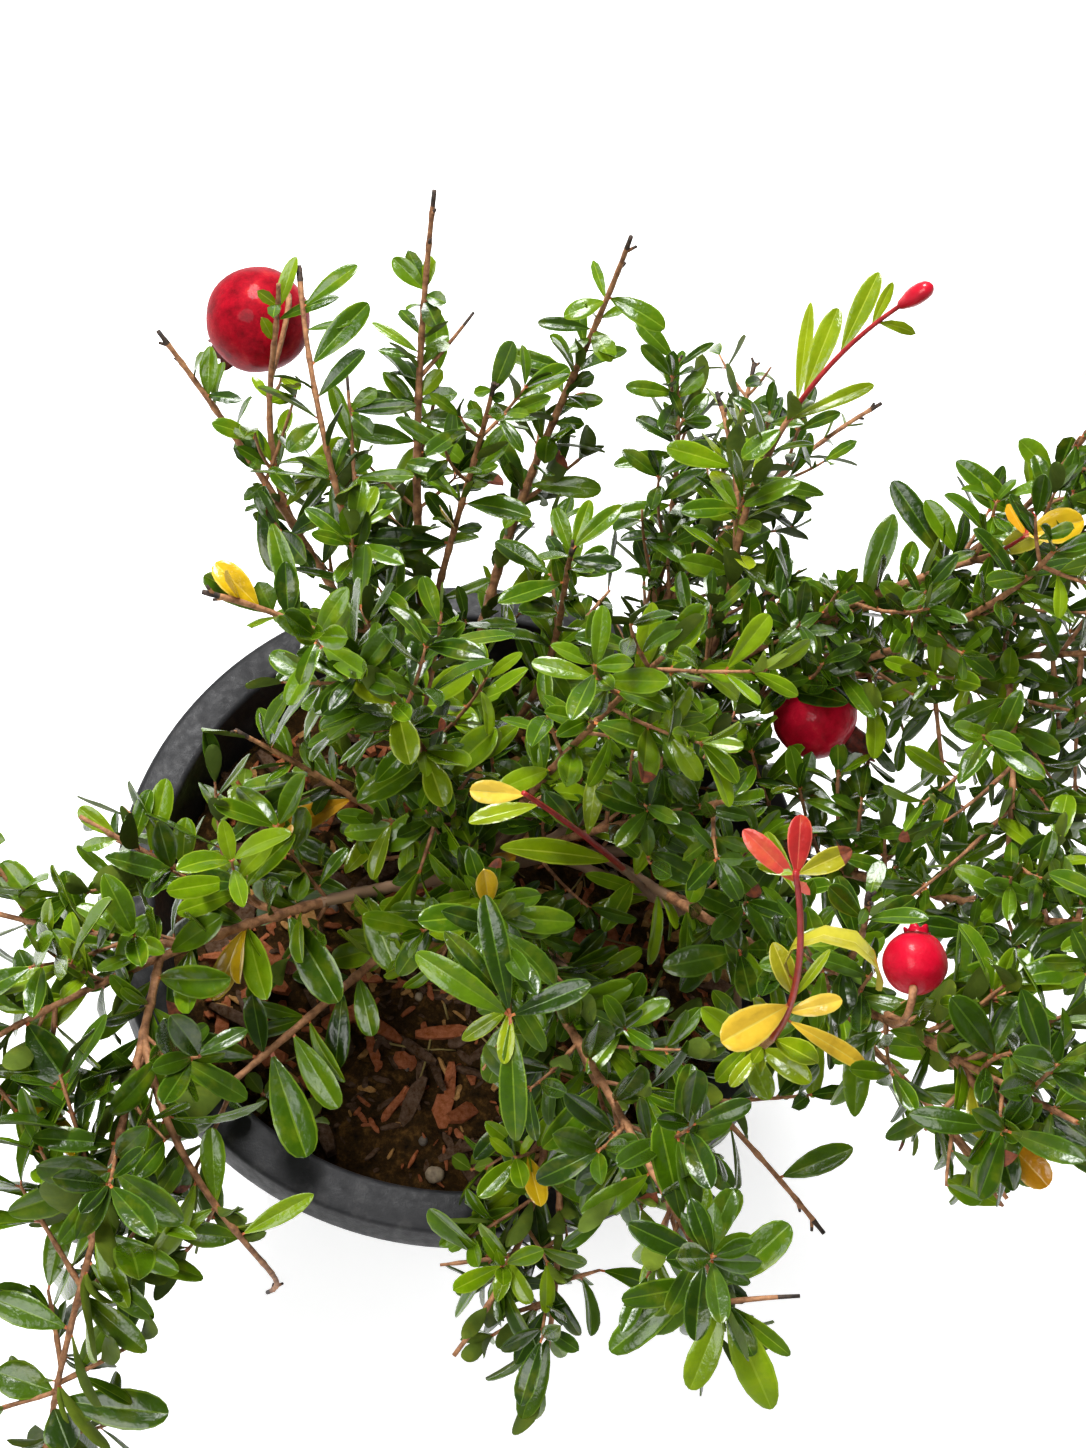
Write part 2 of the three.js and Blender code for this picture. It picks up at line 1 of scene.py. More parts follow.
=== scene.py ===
"""The looks of a dwarf pomegranate in its grow pot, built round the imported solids.

Sizes are in millimetres and angles in degrees, and MM turns a finished mesh into metres. The plant
grows from one table of branches by one seeded rule, the same as its solids but with finer twigs.
"""

import json
import math
from collections import namedtuple

import bpy
import numpy as np
from mathutils import Matrix

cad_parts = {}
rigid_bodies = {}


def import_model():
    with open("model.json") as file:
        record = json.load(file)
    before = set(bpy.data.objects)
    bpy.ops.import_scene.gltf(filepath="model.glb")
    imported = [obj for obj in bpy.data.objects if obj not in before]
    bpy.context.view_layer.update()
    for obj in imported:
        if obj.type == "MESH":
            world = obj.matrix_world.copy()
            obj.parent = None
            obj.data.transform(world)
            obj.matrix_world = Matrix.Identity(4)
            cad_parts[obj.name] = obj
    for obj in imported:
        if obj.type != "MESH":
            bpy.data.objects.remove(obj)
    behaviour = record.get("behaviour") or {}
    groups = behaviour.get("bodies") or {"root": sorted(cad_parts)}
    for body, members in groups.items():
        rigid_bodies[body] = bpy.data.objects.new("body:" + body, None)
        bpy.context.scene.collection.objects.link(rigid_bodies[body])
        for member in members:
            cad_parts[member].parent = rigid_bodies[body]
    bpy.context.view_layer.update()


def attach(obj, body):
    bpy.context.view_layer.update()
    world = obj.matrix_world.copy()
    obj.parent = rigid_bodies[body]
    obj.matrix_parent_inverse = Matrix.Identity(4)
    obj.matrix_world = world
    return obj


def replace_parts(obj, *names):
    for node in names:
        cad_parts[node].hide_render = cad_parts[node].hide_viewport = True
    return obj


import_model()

# ---------- driving sizes ----------

MM = 0.001
UP = np.array([0.0, 0.0, 1.0])
UPRIGHT = 0.95  # how far a direction may point up before it gives no side
SMALL = 0.15  # a vector shorter than this gives no direction
NEVER = 2  # a share of its length that no limb reaches
BUMP_WAVES = 8
BUMP_HEIGHT = 2.8  # of their sum

POT = {
    "height": 205,
    "base_radius": 86,
    "wall_top_radius": 114.5,
    "wall": 4,
    "floor": 4,
    "lip_radius": 125,
    "lip_inner_radius": 111,
    "band_radius": 128,
    "band_drop": 12,
    "band_height": 15,
    "round": 2,
    "sides": 144,
}
SOIL = {
    "top": 180,
    "edge_top": 175,
    "side_gap": 0.5,
    "foot": 4.3,
    "sunk": 1.2,  # its rough surface, below the smooth one
    "rings": 60,
    "around": 200,
}
TRUNK = {"azimuth": 60, "rise": 85, "length": 32, "gap": 0.3}
# The trunk's radius at each share of its height: its root flare, its waist and the fork.
TRUNK_OUTLINE = [(0.0, 15.0), (0.14, 10.8), (0.42, 8.5), (0.7, 8.8), (0.86, 9.5), (1.0, 6.6)]
# What grows keeps so far from the pot, the soil, the ground and the fruits, and from the inner wall.
CLEAR = 0.8
WALL_CLEAR = 5

# Every branch leaves its parent at the share `at` of the parent's length. It starts out at `azimuth`
# from +X towards +Y and at `rise` above level, and by its tip it has swung by `turn` and bent up by
# `bend`. The share `bare` is its bough, and the rest is leafy. The share `end` has no leaves.
BRANCHES = [
    # name, parent, at, azimuth, rise, length, bend, turn, radius, bare, end
    ("northwest", "trunk", 1, 124, 33, 220, 15, 28, 2.6, 0.22, 0.2),
    ("thin_shoot", "northwest", 0.3, 138, 78, 165, -55, -35, 1.5, 0, 0.12),
    ("fruit_shoot", "northwest", 0.6, 139, 32, 100, 55, -90, 1.6, 0, 0),
    ("upper_west", "northwest", 0.1, 169, 100, 175, -75, 20, 2, 0.2, 0.15),
    ("north_tall", "trunk", 0.9, 118, 33, 245, 30, -31, 2.6, 0.24, 0.25),
    ("north_small", "north_tall", 0.35, 84, 47, 110, 35, -30, 1.5, 0, 0.05),
    ("north", "trunk", 1, 107, 9, 250, 70, -65, 2.8, 0.2, 0.2),
    ("north_mid", "north", 0.15, 22, 42, 130, 60, 90, 1.8, 0.2, 0.05),
    ("northeast", "trunk", 0.95, 12, 30, 215, 0, 110, 2.4, 0.24, 0.15),
    ("bud_shoot", "northeast", 0.7, 97, 59, 120, -10, -85, 1.5, 0, 0.15),
    ("back", "trunk", 0.8, 46, 9, 215, 25, 60, 2.4, 0.26, 0.05),
    ("back_middle", "back", 0.5, 65, 19, 120, -5, 20, 1.5, 0, 0.05),
    ("back_right", "back", 0.4, 70, 28, 155, -25, -30, 1.5, 0, 0.25),
    ("east_high", "trunk", 0.9, 50, 35, 255, 0, -50, 2.7, 0.24, 0),
    ("east_top", "east_high", 0.6, 20, 3, 130, 85, 20, 1.6, 0, 0),
    ("east_middle", "east_high", 0.2, 35, 8, 215, 75, -60, 2.2, 0.16, 0),
    ("east", "trunk", 0.8, 59, 2, 295, 55, -100, 2.8, 0.24, 0),
    ("east_drop", "east", 0.75, -93, 45, 105, -55, 0, 1.5, 0, 0),
    ("southeast", "trunk", 1, 27, -9, 315, 95, -110, 2.8, 0.2, 0),
    ("southeast_near", "southeast", 0.15, -47, 41, 240, 0, 5, 2.2, 0.2, 0),
    ("southeast_tip", "southeast_near", 0.65, -32, 54, 90, -75, -50, 1.5, 0, 0),
    ("small_fruit_shoot", "southeast_near", 0.55, -40, 75, 75, 30, 0, 1.5, 0, 0.2),
    ("southeast_low", "southeast", 0.1, -17, 11, 200, -5, -35, 2.2, 0.45, 0),
    ("coral", "southeast_low", 0.4, -105, 31, 230, 95, 55, 1.8, 0.35, 0.15),
    ("red_stem", "southeast_low", 0.2, -145, 70, 160, -5, 0, 1.6, 0.3, 0),
    ("south_near", "trunk", 0.95, -63, 47, 215, -35, 5, 2.4, 0.24, 0),
    ("south_twig", "south_near", 0.2, -36, 19, 150, -35, -5, 1.6, 0.25, 0.3),
    ("south", "trunk", 0.8, -46, 14, 185, -15, -75, 2.2, 0.28, 0),
    ("south_drop", "south", 0.4, -73, 17, 115, -60, -20, 1.5, 0, 0),
    ("south_up", "trunk", 1, -82, 66, 175, -15, 10, 2, 0.28, 0),
    ("west", "trunk", 0.9, -151, 31, 205, -30, 15, 2.8, 0.3, 0),
    ("west_up", "west", 0.38, 174, 22, 75, 0, -10, 1.5, 0, 0),
    ("west_back", "west", 0.55, -175, 5, 85, -5, -15, 1.5, 0, 0),
    ("west_drop", "west", 0.6, -85, 22, 190, -100, -25, 1.7, 0, 0),
    ("southwest_tip", "west_drop", 0.15, -72, 18, 140, -130, 70, 1.4, 0, 0.4),
    ("southwest", "trunk", 0.8, -122, 22, 165, -30, -10, 2.2, 0.26, 0.1),
    ("inner_west", "trunk", 0.7, 166, 47, 115, -5, 15, 1.8, 0.25, 0.05),
    ("centre", "trunk", 1, 20, 74, 165, -5, -15, 1.8, 0.24, 0),
    ("centre_left", "trunk", 1, -165, 84, 145, -10, 10, 1.8, 0.24, 0),
    ("centre_right", "trunk", 0.95, 8, 50, 150, 15, -45, 1.8, 0.24, 0),
]
ARC_STEPS = 24
STEM_TIP_RADIUS = 0.9
SLIM = 0.86  # the shown wood over the solids'
SEED = 311

# The seeded rule: nodes along each stem bear an opposite pair, a quarter turn on from the last pair.
RULE = {
    "first_node": 8,
    "inner_share": 0.5,  # of a bough that bears leaves too
    "bare_share": 0.45,  # of a branch's leafless end that is quite bare, with small leaves before it
    "sparse_gap": 11,
    "sparse_size": (0.4, 0.7),
    "twig_lean": 52,
    "twig_length": (14, 46),
    "twig_bend": 22,
    "twig_turn": (-15, 15),
    "twig_node_gap": 8,
    "twig_radii": (0.75, 0.42),
    "twig_spurs": 0.3,  # the chance of a spur at each joint of a twig
    "twig_ends": 0.6,  # the chance of a leaf at a twig's very tip
    "spur_leaves": 2,
    "spur_spread": 38,
    "spur_lean": (15, 65),
    "spur_size": (0.42, 0.72),
    "leaf_lean": 50,
    "leaf_lean_spread": 34,
    "tip_leaf_lean": 30,
    "turn_spread": 44,
}
LEAF = {
    "length": 27,
    "width": 0.34,  # over its length
    "thickness": 0.42,
    "size": (0.66, 1.1),
    "slimness": (0.84, 1.16),
    "curl": (-14, 52),
    "fold": (0, 0.36),
    "twist": (-24, 24),
    "bluntness": (0.1, 1),
    "to_light": 0.75,
    "roll": 26,
    "brown_tips": 0.008,
}
# A dead stub beside a branch's bare end: where it stands on that end, its lean and its length.
STUB = {"at": (0.35, 0.7), "lean": 40, "length": (2.4, 4.5), "bend": 5, "radii": (0.7, 0.5), "dead": 1.2}
BARE_TIP = 3.5

# How leaves grow and are coloured, by where their branch is: their size, the gap between joints, the
# chance of a side twig and of a small spur at each side of a joint, and the chance of each tone.
Look = namedtuple("Look", "size gap twigs spurs tones")
LOOKS = {
    # Tones fall at random; the shade group leans to the dark tone, as painted shade, and the light group to
    # the paler ones, as painted light.
    "shade": Look(0.8, 8.4, 0.38, 0.66, {"deep": 0.58, "green": 0.36, "fresh": 0.06}),
    "plain": Look(0.93, 9.6, 0.31, 0.64, {"deep": 0.36, "green": 0.5, "fresh": 0.14}),
    "near": Look(1.14, 10.5, 0.28, 0.4, {"deep": 0.26, "green": 0.56, "fresh": 0.18}),
    "near_right": Look(0.98, 9, 0.36, 0.6, {"deep": 0.3, "green": 0.56, "fresh": 0.14}),
    "light": Look(0.97, 9.2, 0.32, 0.64, {"deep": 0.24, "green": 0.5, "fresh": 0.23, "lime": 0.03}),
    "young": Look(0.8, 13, 0.06, 0.4, {"green": 0.3, "fresh": 0.5, "lime": 0.2}),
}
GROUPS = {
    "shade": [
        "back", "back_middle", "back_right", "east_high", "east_top", "east_middle", "east", "east_drop",
        "southeast", "centre_right", "small_fruit_shoot",
    ],
    "near": ["west", "west_up", "west_back", "west_drop", "southwest_tip", "southwest"],
    "near_right": ["southeast_near", "southeast_tip", "south_near", "southeast_low"],
    "light": ["northwest", "upper_west", "inner_west", "centre", "centre_left"],
    "young": ["bud_shoot", "coral", "red_stem"],
}
THIN_END_TONES = {"green": 0.6, "fresh": 0.4}
# From which share of its length a young shoot's bark is red.
RED_FROM = {"bud_shoot": 0.5, "coral": 0.55, "red_stem": 0.06, "yellow_shoot": 0.3}
# The share of its length at which a shoot ends in its own leaves.
STOPS_AT = {"coral": 0.94, "southeast_tip": 0.72, "south_up": 0.88}

# The photograph's own pixels (across, down) place the shoots, leaves and fruits that catch the eye.
# Each still grows from a branch: it starts on one, and only its tip is aimed at a pixel.
SHOOTS = [
    # name, branch, share, tip's pixel, how much nearer the camera the tip is than the root, bend
    ("star", "south_up", 0.86, (510, 1016), 9, 10),
    ("tall_side", "north_tall", 0.74, (474, 312), 2, 12),
    ("tall_side_low", "north_tall", 0.6, (440, 372), 4, 20),
    ("yellow_shoot", "east_high", 0.84, (1025, 536), 40, 10),
    ("near_twig", "south_near", 1.0, (800, 1296), 4, -30),
    ("drop_end", "west_drop", 0.9, (28, 1560), 0, -10),
    ("drop_side", "west_drop", 0.8, (-40, 1420), 6, 10),
    ("right_low", "southeast_low", 0.75, (1003, 1206), 0, -20),
    ("right_twig", "southeast_low", 0.55, (880, 1075), 8, 0),
    ("second_thin_shoot", "thin_shoot", 0.36, (347, 374), 2, -8),
    ("under_fruit", "southeast", 0.42, (800, 790), 22, 18),
    ("left_of_fruit", "southeast", 0.38, (752, 752), 24, 18),
    ("right_of_fruit", "southeast", 0.44, (838, 772), 16, 18),
]
SHOOT_RADII = (0.9, 0.55)
SHOOT_SIZE = 0.95
# These shoots have no leaves by the rule. Bare ones end in dead wood, and the others in placed leaves.
BARE_SHOOTS = ["tall_side", "near_twig", "second_thin_shoot"]
CROWNED_SHOOTS = ["star", "yellow_shoot"]
# Leafy shoots that fill the crown where the photograph shows it dense, by branch.
FILLING = [
    # each shoot's share of its branch, its tip's pixel, how much nearer the tip is than the root
    ("northwest", [(0.62, (350, 480), 2)]),
    ("north_tall", [(0.5, (375, 500), 2)]),
    ("southeast", [(0.5, (885, 838), 6), (0.47, (905, 845), 10)]),
    ("east", [
        (0.86, (1075, 802), 8), (0.58, (868, 775), 10), (0.6, (905, 735), 14), (0.66, (948, 800), 8),
        (0.7, (975, 745), 14),
    ]),
    ("southeast", [(0.46, (862, 800), 18), (0.52, (915, 818), 8), (0.58, (960, 830), 4)]),
    ("east_middle", [(0.42, (790, 682), 12), (0.5, (872, 700), 10)]),
    ("southeast_near", [
        (0.7, (962, 1000), 8), (0.76, (1005, 985), 14), (0.82, (1064, 1015), 8), (0.9, (1094, 1062), 4),
    ]),
    ("southeast_tip", [(0.5, (925, 1130), 4), (0.7, (1056, 1150), 4), (0.45, (1040, 1085), 6)]),
    ("west_drop", [
        (0.5, (40, 1150), 2), (0.58, (20, 1185), 6), (0.62, (150, 1210), 2), (0.74, (48, 1290), 2),
        (0.78, (140, 1340), 2), (0.45, (60, 1075), 4),
    ]),
    ("west", [(0.92, (15, 1110), 0), (0.78, (50, 1070), 4)]),
    ("southwest", [(0.7, (190, 1180), 2)]),
    ("south_near", [(0.75, (610, 1210), 6), (0.8, (690, 1160), 2), (0.85, (655, 1245), 4)]),
    ("south_drop", [(0.6, (480, 1280), 2), (0.75, (470, 1325), 4), (0.7, (600, 1270), 4)]),
    ("south", [(0.8, (440, 1265), 0)]),
    ("centre_left", [(0.5, (420, 870), 4), (0.3, (455, 880), 12)]),
    ("south_up", [(0.35, (440, 960), 4), (0.5, (580, 1000), 0)]),
    ("north", [(0.55, (590, 450), 2), (0.4, (540, 590), 8)]),
    ("north_mid", [(0.5, (610, 590), 2)]),
    ("back", [(0.5, (650, 590), 8)]),
    ("northeast", [(0.55, (800, 570), 6)]),
    ("east_high", [(0.45, (790, 590), 8)]),
    ("east", [(0.82, (1062, 745), 6), (0.9, (1100, 735), 6)]),
    ("east_drop", [(0.4, (1052, 780), 6), (0.6, (1066, 835), 6)]),
    ("southeast", [(0.75, (1056, 850), 4), (0.82, (1092, 862), 4)]),
]
FILLING_RADII = (0.95, 0.5)
FILLING_BEND = 18
FILLING_SIZE = 1.1
# Leaves that the photograph shows one by one, by limb.
PLACED_LEAVES = [
    # where each leaf starts, as a share of its limb or the pixel that it starts near, its tip's
    # pixel, how much nearer the camera its tip is, its width, tone and curl, and for some its lift
    ("star", [
        (1.0, (485, 896), 6, 8.2, "deep", 30), (1.0, (417, 954), 6, 8.6, "green", 55),
        (0.8, (445, 932), 2, 6.5, "deep", 25), (1.0, (590, 984), 5, 7.4, "deep", 20),
        (1.0, (516, 1142), -4, 8.4, "green", 25), (0.9, (504, 1064), 2, 5.0, "lime", 15),
        (0.9, (462, 1040), 0, 5.0, "lime", 30), (0.7, (545, 1052), -3, 6.0, "green", 30),
    ]),
    ("coral", [
        (0.93, (801, 815), 3, 6.6, "coral", 15), (0.92, (744, 830), 3, 6.0, "coral", 25),
        ((776, 880), (852, 850), 0, 6.2, "ochre", 20), ((776, 893), (806, 884), 3, 5.6, "coral", 20),
        ((774, 880), (756, 862), -2, 4.2, "lime", 20), (0.9, (766, 832), -4, 4.2, "lime", 10),
        ((785, 1003), (722, 1042), 8, 11.0, "butter", 16),
        ((800, 985), (870, 968), 8, 9.6, "ochre", 240, 0.64), ((790, 995), (774, 944), 6, 6.5, "ochre", 50),
        (0.64, (868, 1068), -8, 6.0, "butter", 30), (0.66, (842, 1000), 2, 6.0, "butter", 60),
        (0.7, (830, 950), 4, 3.0, "lime", 30),
    ]),
    ("bud_shoot", [
        (0.74, (879, 272), 2, 7.2, "lime", 10), (0.58, (838, 308), 2, 7.8, "lime", 15),
        (0.55, (811, 302), 0, 5.0, "lime", 10), (0.5, (874, 384), 0, 5.4, "lime", 20),
        (0.48, (742, 458), 0, 8.0, "green", 15), (0.88, (917, 332), 0, 4.2, "lime", 60),
        (0.86, (893, 282), 0, 4.0, "lime", 20),
    ]),
    ("fruit_shoot", [(0.9, (258, 291), 6, 4.0, "lime", 20), (0.88, (296, 257), 5, 5.2, "fresh", 20)]),
    ("thin_shoot", [
        ((312, 308), (357, 265), 3, 6.0, "green", 20), ((322, 366), (368, 303), 3, 8.6, "green", 20),
        ((328, 396), (364, 350), 2, 6.4, "deep", 25), ((334, 420), (288, 451), 3, 8.0, "deep", 20),
    ]),
    ("northwest", [
        ((308, 496), (344, 438), 4, 8.8, "fresh", 20), ((268, 478), (274, 572), 4, 8.6, "deep", 15),
        ((262, 470), (236, 440), 3, 6.4, "deep", 25), ((280, 450), (256, 428), 3, 7.0, "deep", 25),
        ((270, 480), (244, 500), 2, 4.4, "deep", 20),
    ]),
    ("upper_west", [
        ((322, 578), (272, 524), 6, 7.2, "green", 20), ((290, 614), (285, 562), 4, 7.8, "deep", 20),
        ((272, 614), (258, 582), 3, 7.4, "deep", 20),
    ]),
    ("second_thin_shoot", [
        ((350, 446), (331, 384), 3, 5.6, "green", 20), ((349, 410), (376, 389), 3, 5.4, "green", 30),
        ((349, 414), (372, 434), 2, 7.0, "green", 25), ((349, 412), (416, 405), 3, 5.4, "deep", 15),
        ((350, 478), (414, 475), 3, 4.6, "green", 20), ((350, 474), (372, 456), 2, 5.8, "green", 25),
        ((350, 508), (400, 496), 3, 8.4, "deep", 20),
    ]),
    ("north_small", [
        ((448, 530), (426, 492), 3, 6.4, "deep", 25), ((444, 542), (364, 537), 4, 8.4, "deep", 20),
        ((448, 528), (482, 527), 2, 4.2, "deep", 15), ((462, 484), (491, 476), 2, 6.0, "fresh", 20),
        ((460, 472), (498, 465), 2, 4.0, "green", 20), ((458, 498), (418, 474), 2, 4.4, "green", 30),
        ((434, 566), (386, 552), 3, 7.4, "green", 20),
    ]),
    ("east_top", [
        ((945, 562), (893, 481), 4, 8.6, "deep", 15), ((952, 548), (926, 500), 3, 7.4, "green", 20),
    ]),
    ("west", [((100, 1002), (26, 1034), 3, 9.0, "fresh", 20), ((48, 1006), (18, 950), 3, 9.0, "deep", 30)]),
    ("west_drop", [
        ((118, 1236), (178, 1272), 4, 7.4, "green", 20), ((112, 1238), (128, 1308), 4, 8.0, "fresh", 15),
        ((105, 1300), (146, 1352), 4, 8.4, "green", 20), ((112, 1266), (153, 1319), 3, 8.0, "green", 25),
    ]),
    ("thin_shoot", [((314, 330), (352, 322), 2, 2.8, "green", 30)]),
    ("fruit_shoot", [
        (0.75, (262, 318), 7, 4.2, "lime", 20), ((292, 322), (338, 296), 4, 4.6, "green", 40),
        ((286, 400), (252, 376), 2, 3.6, "fresh", 50),
    ]),
    ("red_stem", [
        (0.98, (470, 790), 2, 7.0, "butter", 15), (0.9, (469, 822), 5, 6.4, "lime", 15, 0.3),
        ((612, 866), (502, 847), 22, 9.8, "lime", 18, 0.3), ((648, 894), (586, 874), 9, 5.4, "fresh", 15),
        ((655, 900), (592, 906), 9, 4.8, "lime", 30, 0.3), ((588, 838), (597, 774), 3, 6.6, "lime", 10),
        ((576, 836), (546, 792), 6, 7.0, "deep", 20),
    ]),
    ("yellow_shoot", [
        (1.0, (1084, 520), 2, 11.0, "yellow", 15), (0.4, (1050, 528), 16, 8.4, "ochre", 15),
        (1.0, (1008, 504), 0, 5.0, "golden", 20), (1.0, (1033, 512), 0, 4.2, "coral", 5),
        (0.4, (1000, 545), 3, 6.4, "green", 25),
    ]),
    ("south_near", [
        (0.88, (660, 1122), 6, 10.4, "green", 25), (0.9, (706, 1186), 3, 6.4, "fresh", 15),
        (0.92, (739, 1190), 0, 7.8, "green", 20), (0.93, (754, 1238), -2, 6.4, "green", 30),
        (0.98, (790, 1225), 3, 10.2, "green", 15), (0.97, (622, 1300), 4, 8.2, "green", 20),
        (0.95, (610, 1352), 0, 9.2, "green", 20), (1.0, (690, 1390), 0, 8.8, "fresh", 15),
        (1.0, (772, 1410), 0, 10.6, "fresh", 20), (1.0, (791, 1356), -2, 5.0, "fresh", 30),
    ]),
    ("south_drop", [(0.85, (522, 1419), 2, 9.2, "green", 15)]),
    ("south_twig", [(0.85, (853, 1148), 0, 8.6, "green", 10)]),
    ("southwest_tip", [
        (0.55, (314, 1194), 0, 6.8, "fresh", -25), (0.56, (184, 1232), 2, 8.6, "green", 20),
        (0.45, (211, 1128), 0, 8.0, "green", 10), (0.45, (147, 1248), -2, 7.2, "fresh", 10),
    ]),
    ("west_drop", [
        (0.82, (168, 1414), 2, 12.6, "green", 20), (0.84, (70, 1450), 4, 12.0, "deep", 10),
        (0.8, (-4, 1372), 0, 12.0, "green", 15), (0.66, (-8, 1298), 0, 10.0, "green", 15),
    ]),
    ("right_low", [(1.0, (948, 1180), 2, 9.0, "fresh", 20), (0.9, (1008, 1180), 0, 6.4, "green", 20)]),
    ("north_tall", [
        ((413, 288), (393, 258), 2, 6.6, "green", 20), ((413, 286), (408, 250), 0, 5.2, "deep", 15),
        ((416, 290), (431, 256), 2, 4.6, "fresh", 20), ((415, 296), (446, 302), 2, 5.6, "green", 30),
        ((415, 300), (437, 326), 3, 7.0, "deep", 25), ((412, 348), (450, 345), 0, 4.6, "green", 20),
        ((408, 352), (372, 322), 0, 3.8, "fresh", 20), ((408, 356), (378, 350), 2, 3.6, "green", 15),
        ((404, 410), (383, 372), 3, 6.0, "green", 20), ((405, 400), (457, 393), 3, 6.6, "green", 30),
        ((405, 396), (442, 370), 3, 6.4, "fresh", 20), ((404, 404), (358, 396), 2, 5.4, "deep", 20),
        ((403, 425), (464, 462), 3, 7.6, "green", 35), ((403, 422), (462, 418), 2, 7.2, "deep", 25),
        ((403, 440), (352, 430), 3, 7.0, "deep", 30),
    ]),
    ("north", [
        ((603, 300), (564, 316), 3, 7.4, "green", 40), ((606, 298), (665, 327), 3, 9.0, "green", 50),
        ((603, 298), (593, 260), 0, 3.8, "fresh", 15), ((596, 330), (538, 322), 2, 5.0, "deep", 25),
        ((592, 330), (611, 360), 5, 8.4, "fresh", 50), ((590, 336), (570, 352), 3, 4.0, "green", 30),
        ((576, 376), (505, 352), 2, 6.0, "green", 30), ((574, 384), (526, 368), 3, 6.2, "deep", 30),
        ((572, 388), (594, 376), 3, 6.2, "deep", 20), ((566, 404), (603, 400), 3, 5.6, "fresh", 25),
        ((560, 418), (500, 418), 1, 4.4, "deep", 10), ((556, 424), (584, 424), 4, 5.4, "green", 25),
        ((548, 436), (545, 462), 6, 8.2, "green", 40), ((534, 486), (601, 489), 4, 8.0, "green", 25),
        ((530, 490), (495, 437), 3, 8.0, "deep", 25), ((520, 520), (497, 494), 3, 6.0, "deep", 15),
    ]),
    ("north_mid", [
        ((575, 560), (622, 566), 2, 7.0, "deep", 15), ((575, 555), (555, 508), 2, 6.0, "green", 20),
        ((574, 552), (590, 500), 2, 5.4, "fresh", 20), ((573, 549), (622, 505), 2, 6.0, "green", 30),
    ]),
    ("north_small", [
        ((494, 390), (474, 393), 2, 4.0, "green", 20), ((492, 396), (504, 400), 3, 4.4, "deep", 20),
        ((482, 430), (470, 400), 2, 5.0, "deep", 20),
    ]),
    ("back", [
        ((676, 362), (637, 321), 3, 7.2, "green", 30), ((676, 370), (714, 342), 0, 3.4, "deep", 50),
        ((674, 395), (626, 386), 4, 6.4, "green", 25), ((674, 400), (703, 373), 4, 6.8, "green", 20),
        ((672, 455), (614, 465), 4, 6.4, "green", 20), ((672, 505), (612, 515), 4, 7.6, "green", 20),
    ]),
    ("northeast", [
        ((730, 470), (667, 447), 6, 8.6, "fresh", 20), ((735, 480), (824, 494), 4, 6.0, "green", 25),
        ((735, 490), (812, 508), 3, 5.4, "deep", 25), ((730, 520), (702, 505), 4, 8.0, "green", 25),
        ((728, 545), (770, 530), 5, 8.4, "deep", 20), ((726, 570), (680, 560), 5, 8.0, "green", 20),
        ((728, 560), (812, 600), 8, 10.0, "green", 25),
    ]),
    ("east_high", [
        ((860, 590), (894, 514), 4, 8.8, "deep", 20), ((850, 598), (838, 570), 4, 6.4, "green", 20),
    ]),
    ("east_top", [
        ((1005, 500), (957, 461), 3, 8.0, "green", 25), ((1008, 505), (972, 492), 4, 6.4, "deep", 20),
        ((1045, 470), (1020, 440), 3, 8.2, "green", 25), ((1050, 465), (1073, 437), 3, 8.4, "deep", 20),
        ((1060, 460), (1090, 452), 3, 7.0, "green", 20),
    ]),
    ("east_middle", [
        ((778, 690), (846, 702), 26, 7.0, "deep", 20), ((800, 684), (838, 684), 26, 6.6, "deep", 20),
        ((835, 672), (874, 716), 22, 6.4, "green", 20), ((790, 686), (762, 712), 24, 6.0, "deep", 25),
    ]),
    ("under_fruit", [(1.0, (790, 746), 4, 6.4, "green", 20), (1.0, (812, 752), 3, 6.0, "deep", 20)]),
    ("right_of_fruit", [(1.0, (838, 745), 4, 6.2, "green", 20), (0.95, (862, 754), 3, 6.0, "deep", 20)]),
    ("left_of_fruit", [(1.0, (770, 724), 3, 6.2, "green", 20), (1.0, (780, 742), 3, 5.6, "deep", 20)]),
    ("inner_west", [((338, 822), (272, 833), 15, 9.0, "golden", 20)]),
    ("west_up", [
        ((110, 850), (79, 808), 3, 6.4, "fresh", 20), ((112, 852), (82, 848), 2, 5.0, "green", 20),
        ((150, 858), (88, 892), 2, 6.0, "green", 30), ((150, 856), (166, 779), 4, 8.4, "fresh", 20),
        ((130, 850), (150, 790), 3, 6.4, "green", 25), ((185, 866), (186, 818), 4, 8.0, "fresh", 20),
        ((195, 880), (114, 892), 2, 6.2, "green", 20),
    ]),
    ("west_back", [
        ((60, 900), (2, 862), 4, 9.6, "green", 25), ((88, 915), (64, 871), 3, 8.0, "green", 25),
        ((75, 905), (36, 918), 3, 7.6, "deep", 25),
    ]),
    ("west", [
        ((118, 985), (158, 917), 5, 12.4, "green", 25), ((100, 992), (52, 930), 4, 9.6, "green", 20),
        ((60, 1010), (20, 975), 4, 8.0, "deep", 20), ((170, 962), (221, 917), 5, 9.4, "green", 20),
        ((200, 950), (172, 1020), 5, 9.6, "deep", 30), ((285, 910), (338, 1002), 9, 13.0, "green", 20),
        ((362, 878), (396, 971), 7, 12.6, "fresh", 20), ((392, 872), (428, 930), 7, 10.6, "green", 20),
        ((250, 925), (212, 1000), 6, 9.0, "green", 20), ((30, 1025), (73, 1092), 10, 14.0, "deep", 20),
    ]),
    ("southwest", [
        ((270, 1050), (306, 1157), 8, 13.6, "green", 20), ((228, 1072), (155, 1102), 5, 8.4, "fresh", 20),
        ((290, 1030), (338, 1108), 6, 10.4, "green", 20), ((345, 990), (335, 1070), 6, 8.6, "deep", 20),
        ((362, 978), (372, 1036), 5, 8.4, "green", 20), ((262, 1055), (252, 995), 4, 8.0, "deep", 20),
    ]),
    ("upper_west", [((258, 612), (215, 563), 4, 8.6, "yellow", 45)]),
    ("southeast_near", [((850, 1020), (855, 1117), 2, 8.6, "green", 15)]),
    ("southeast_tip", [
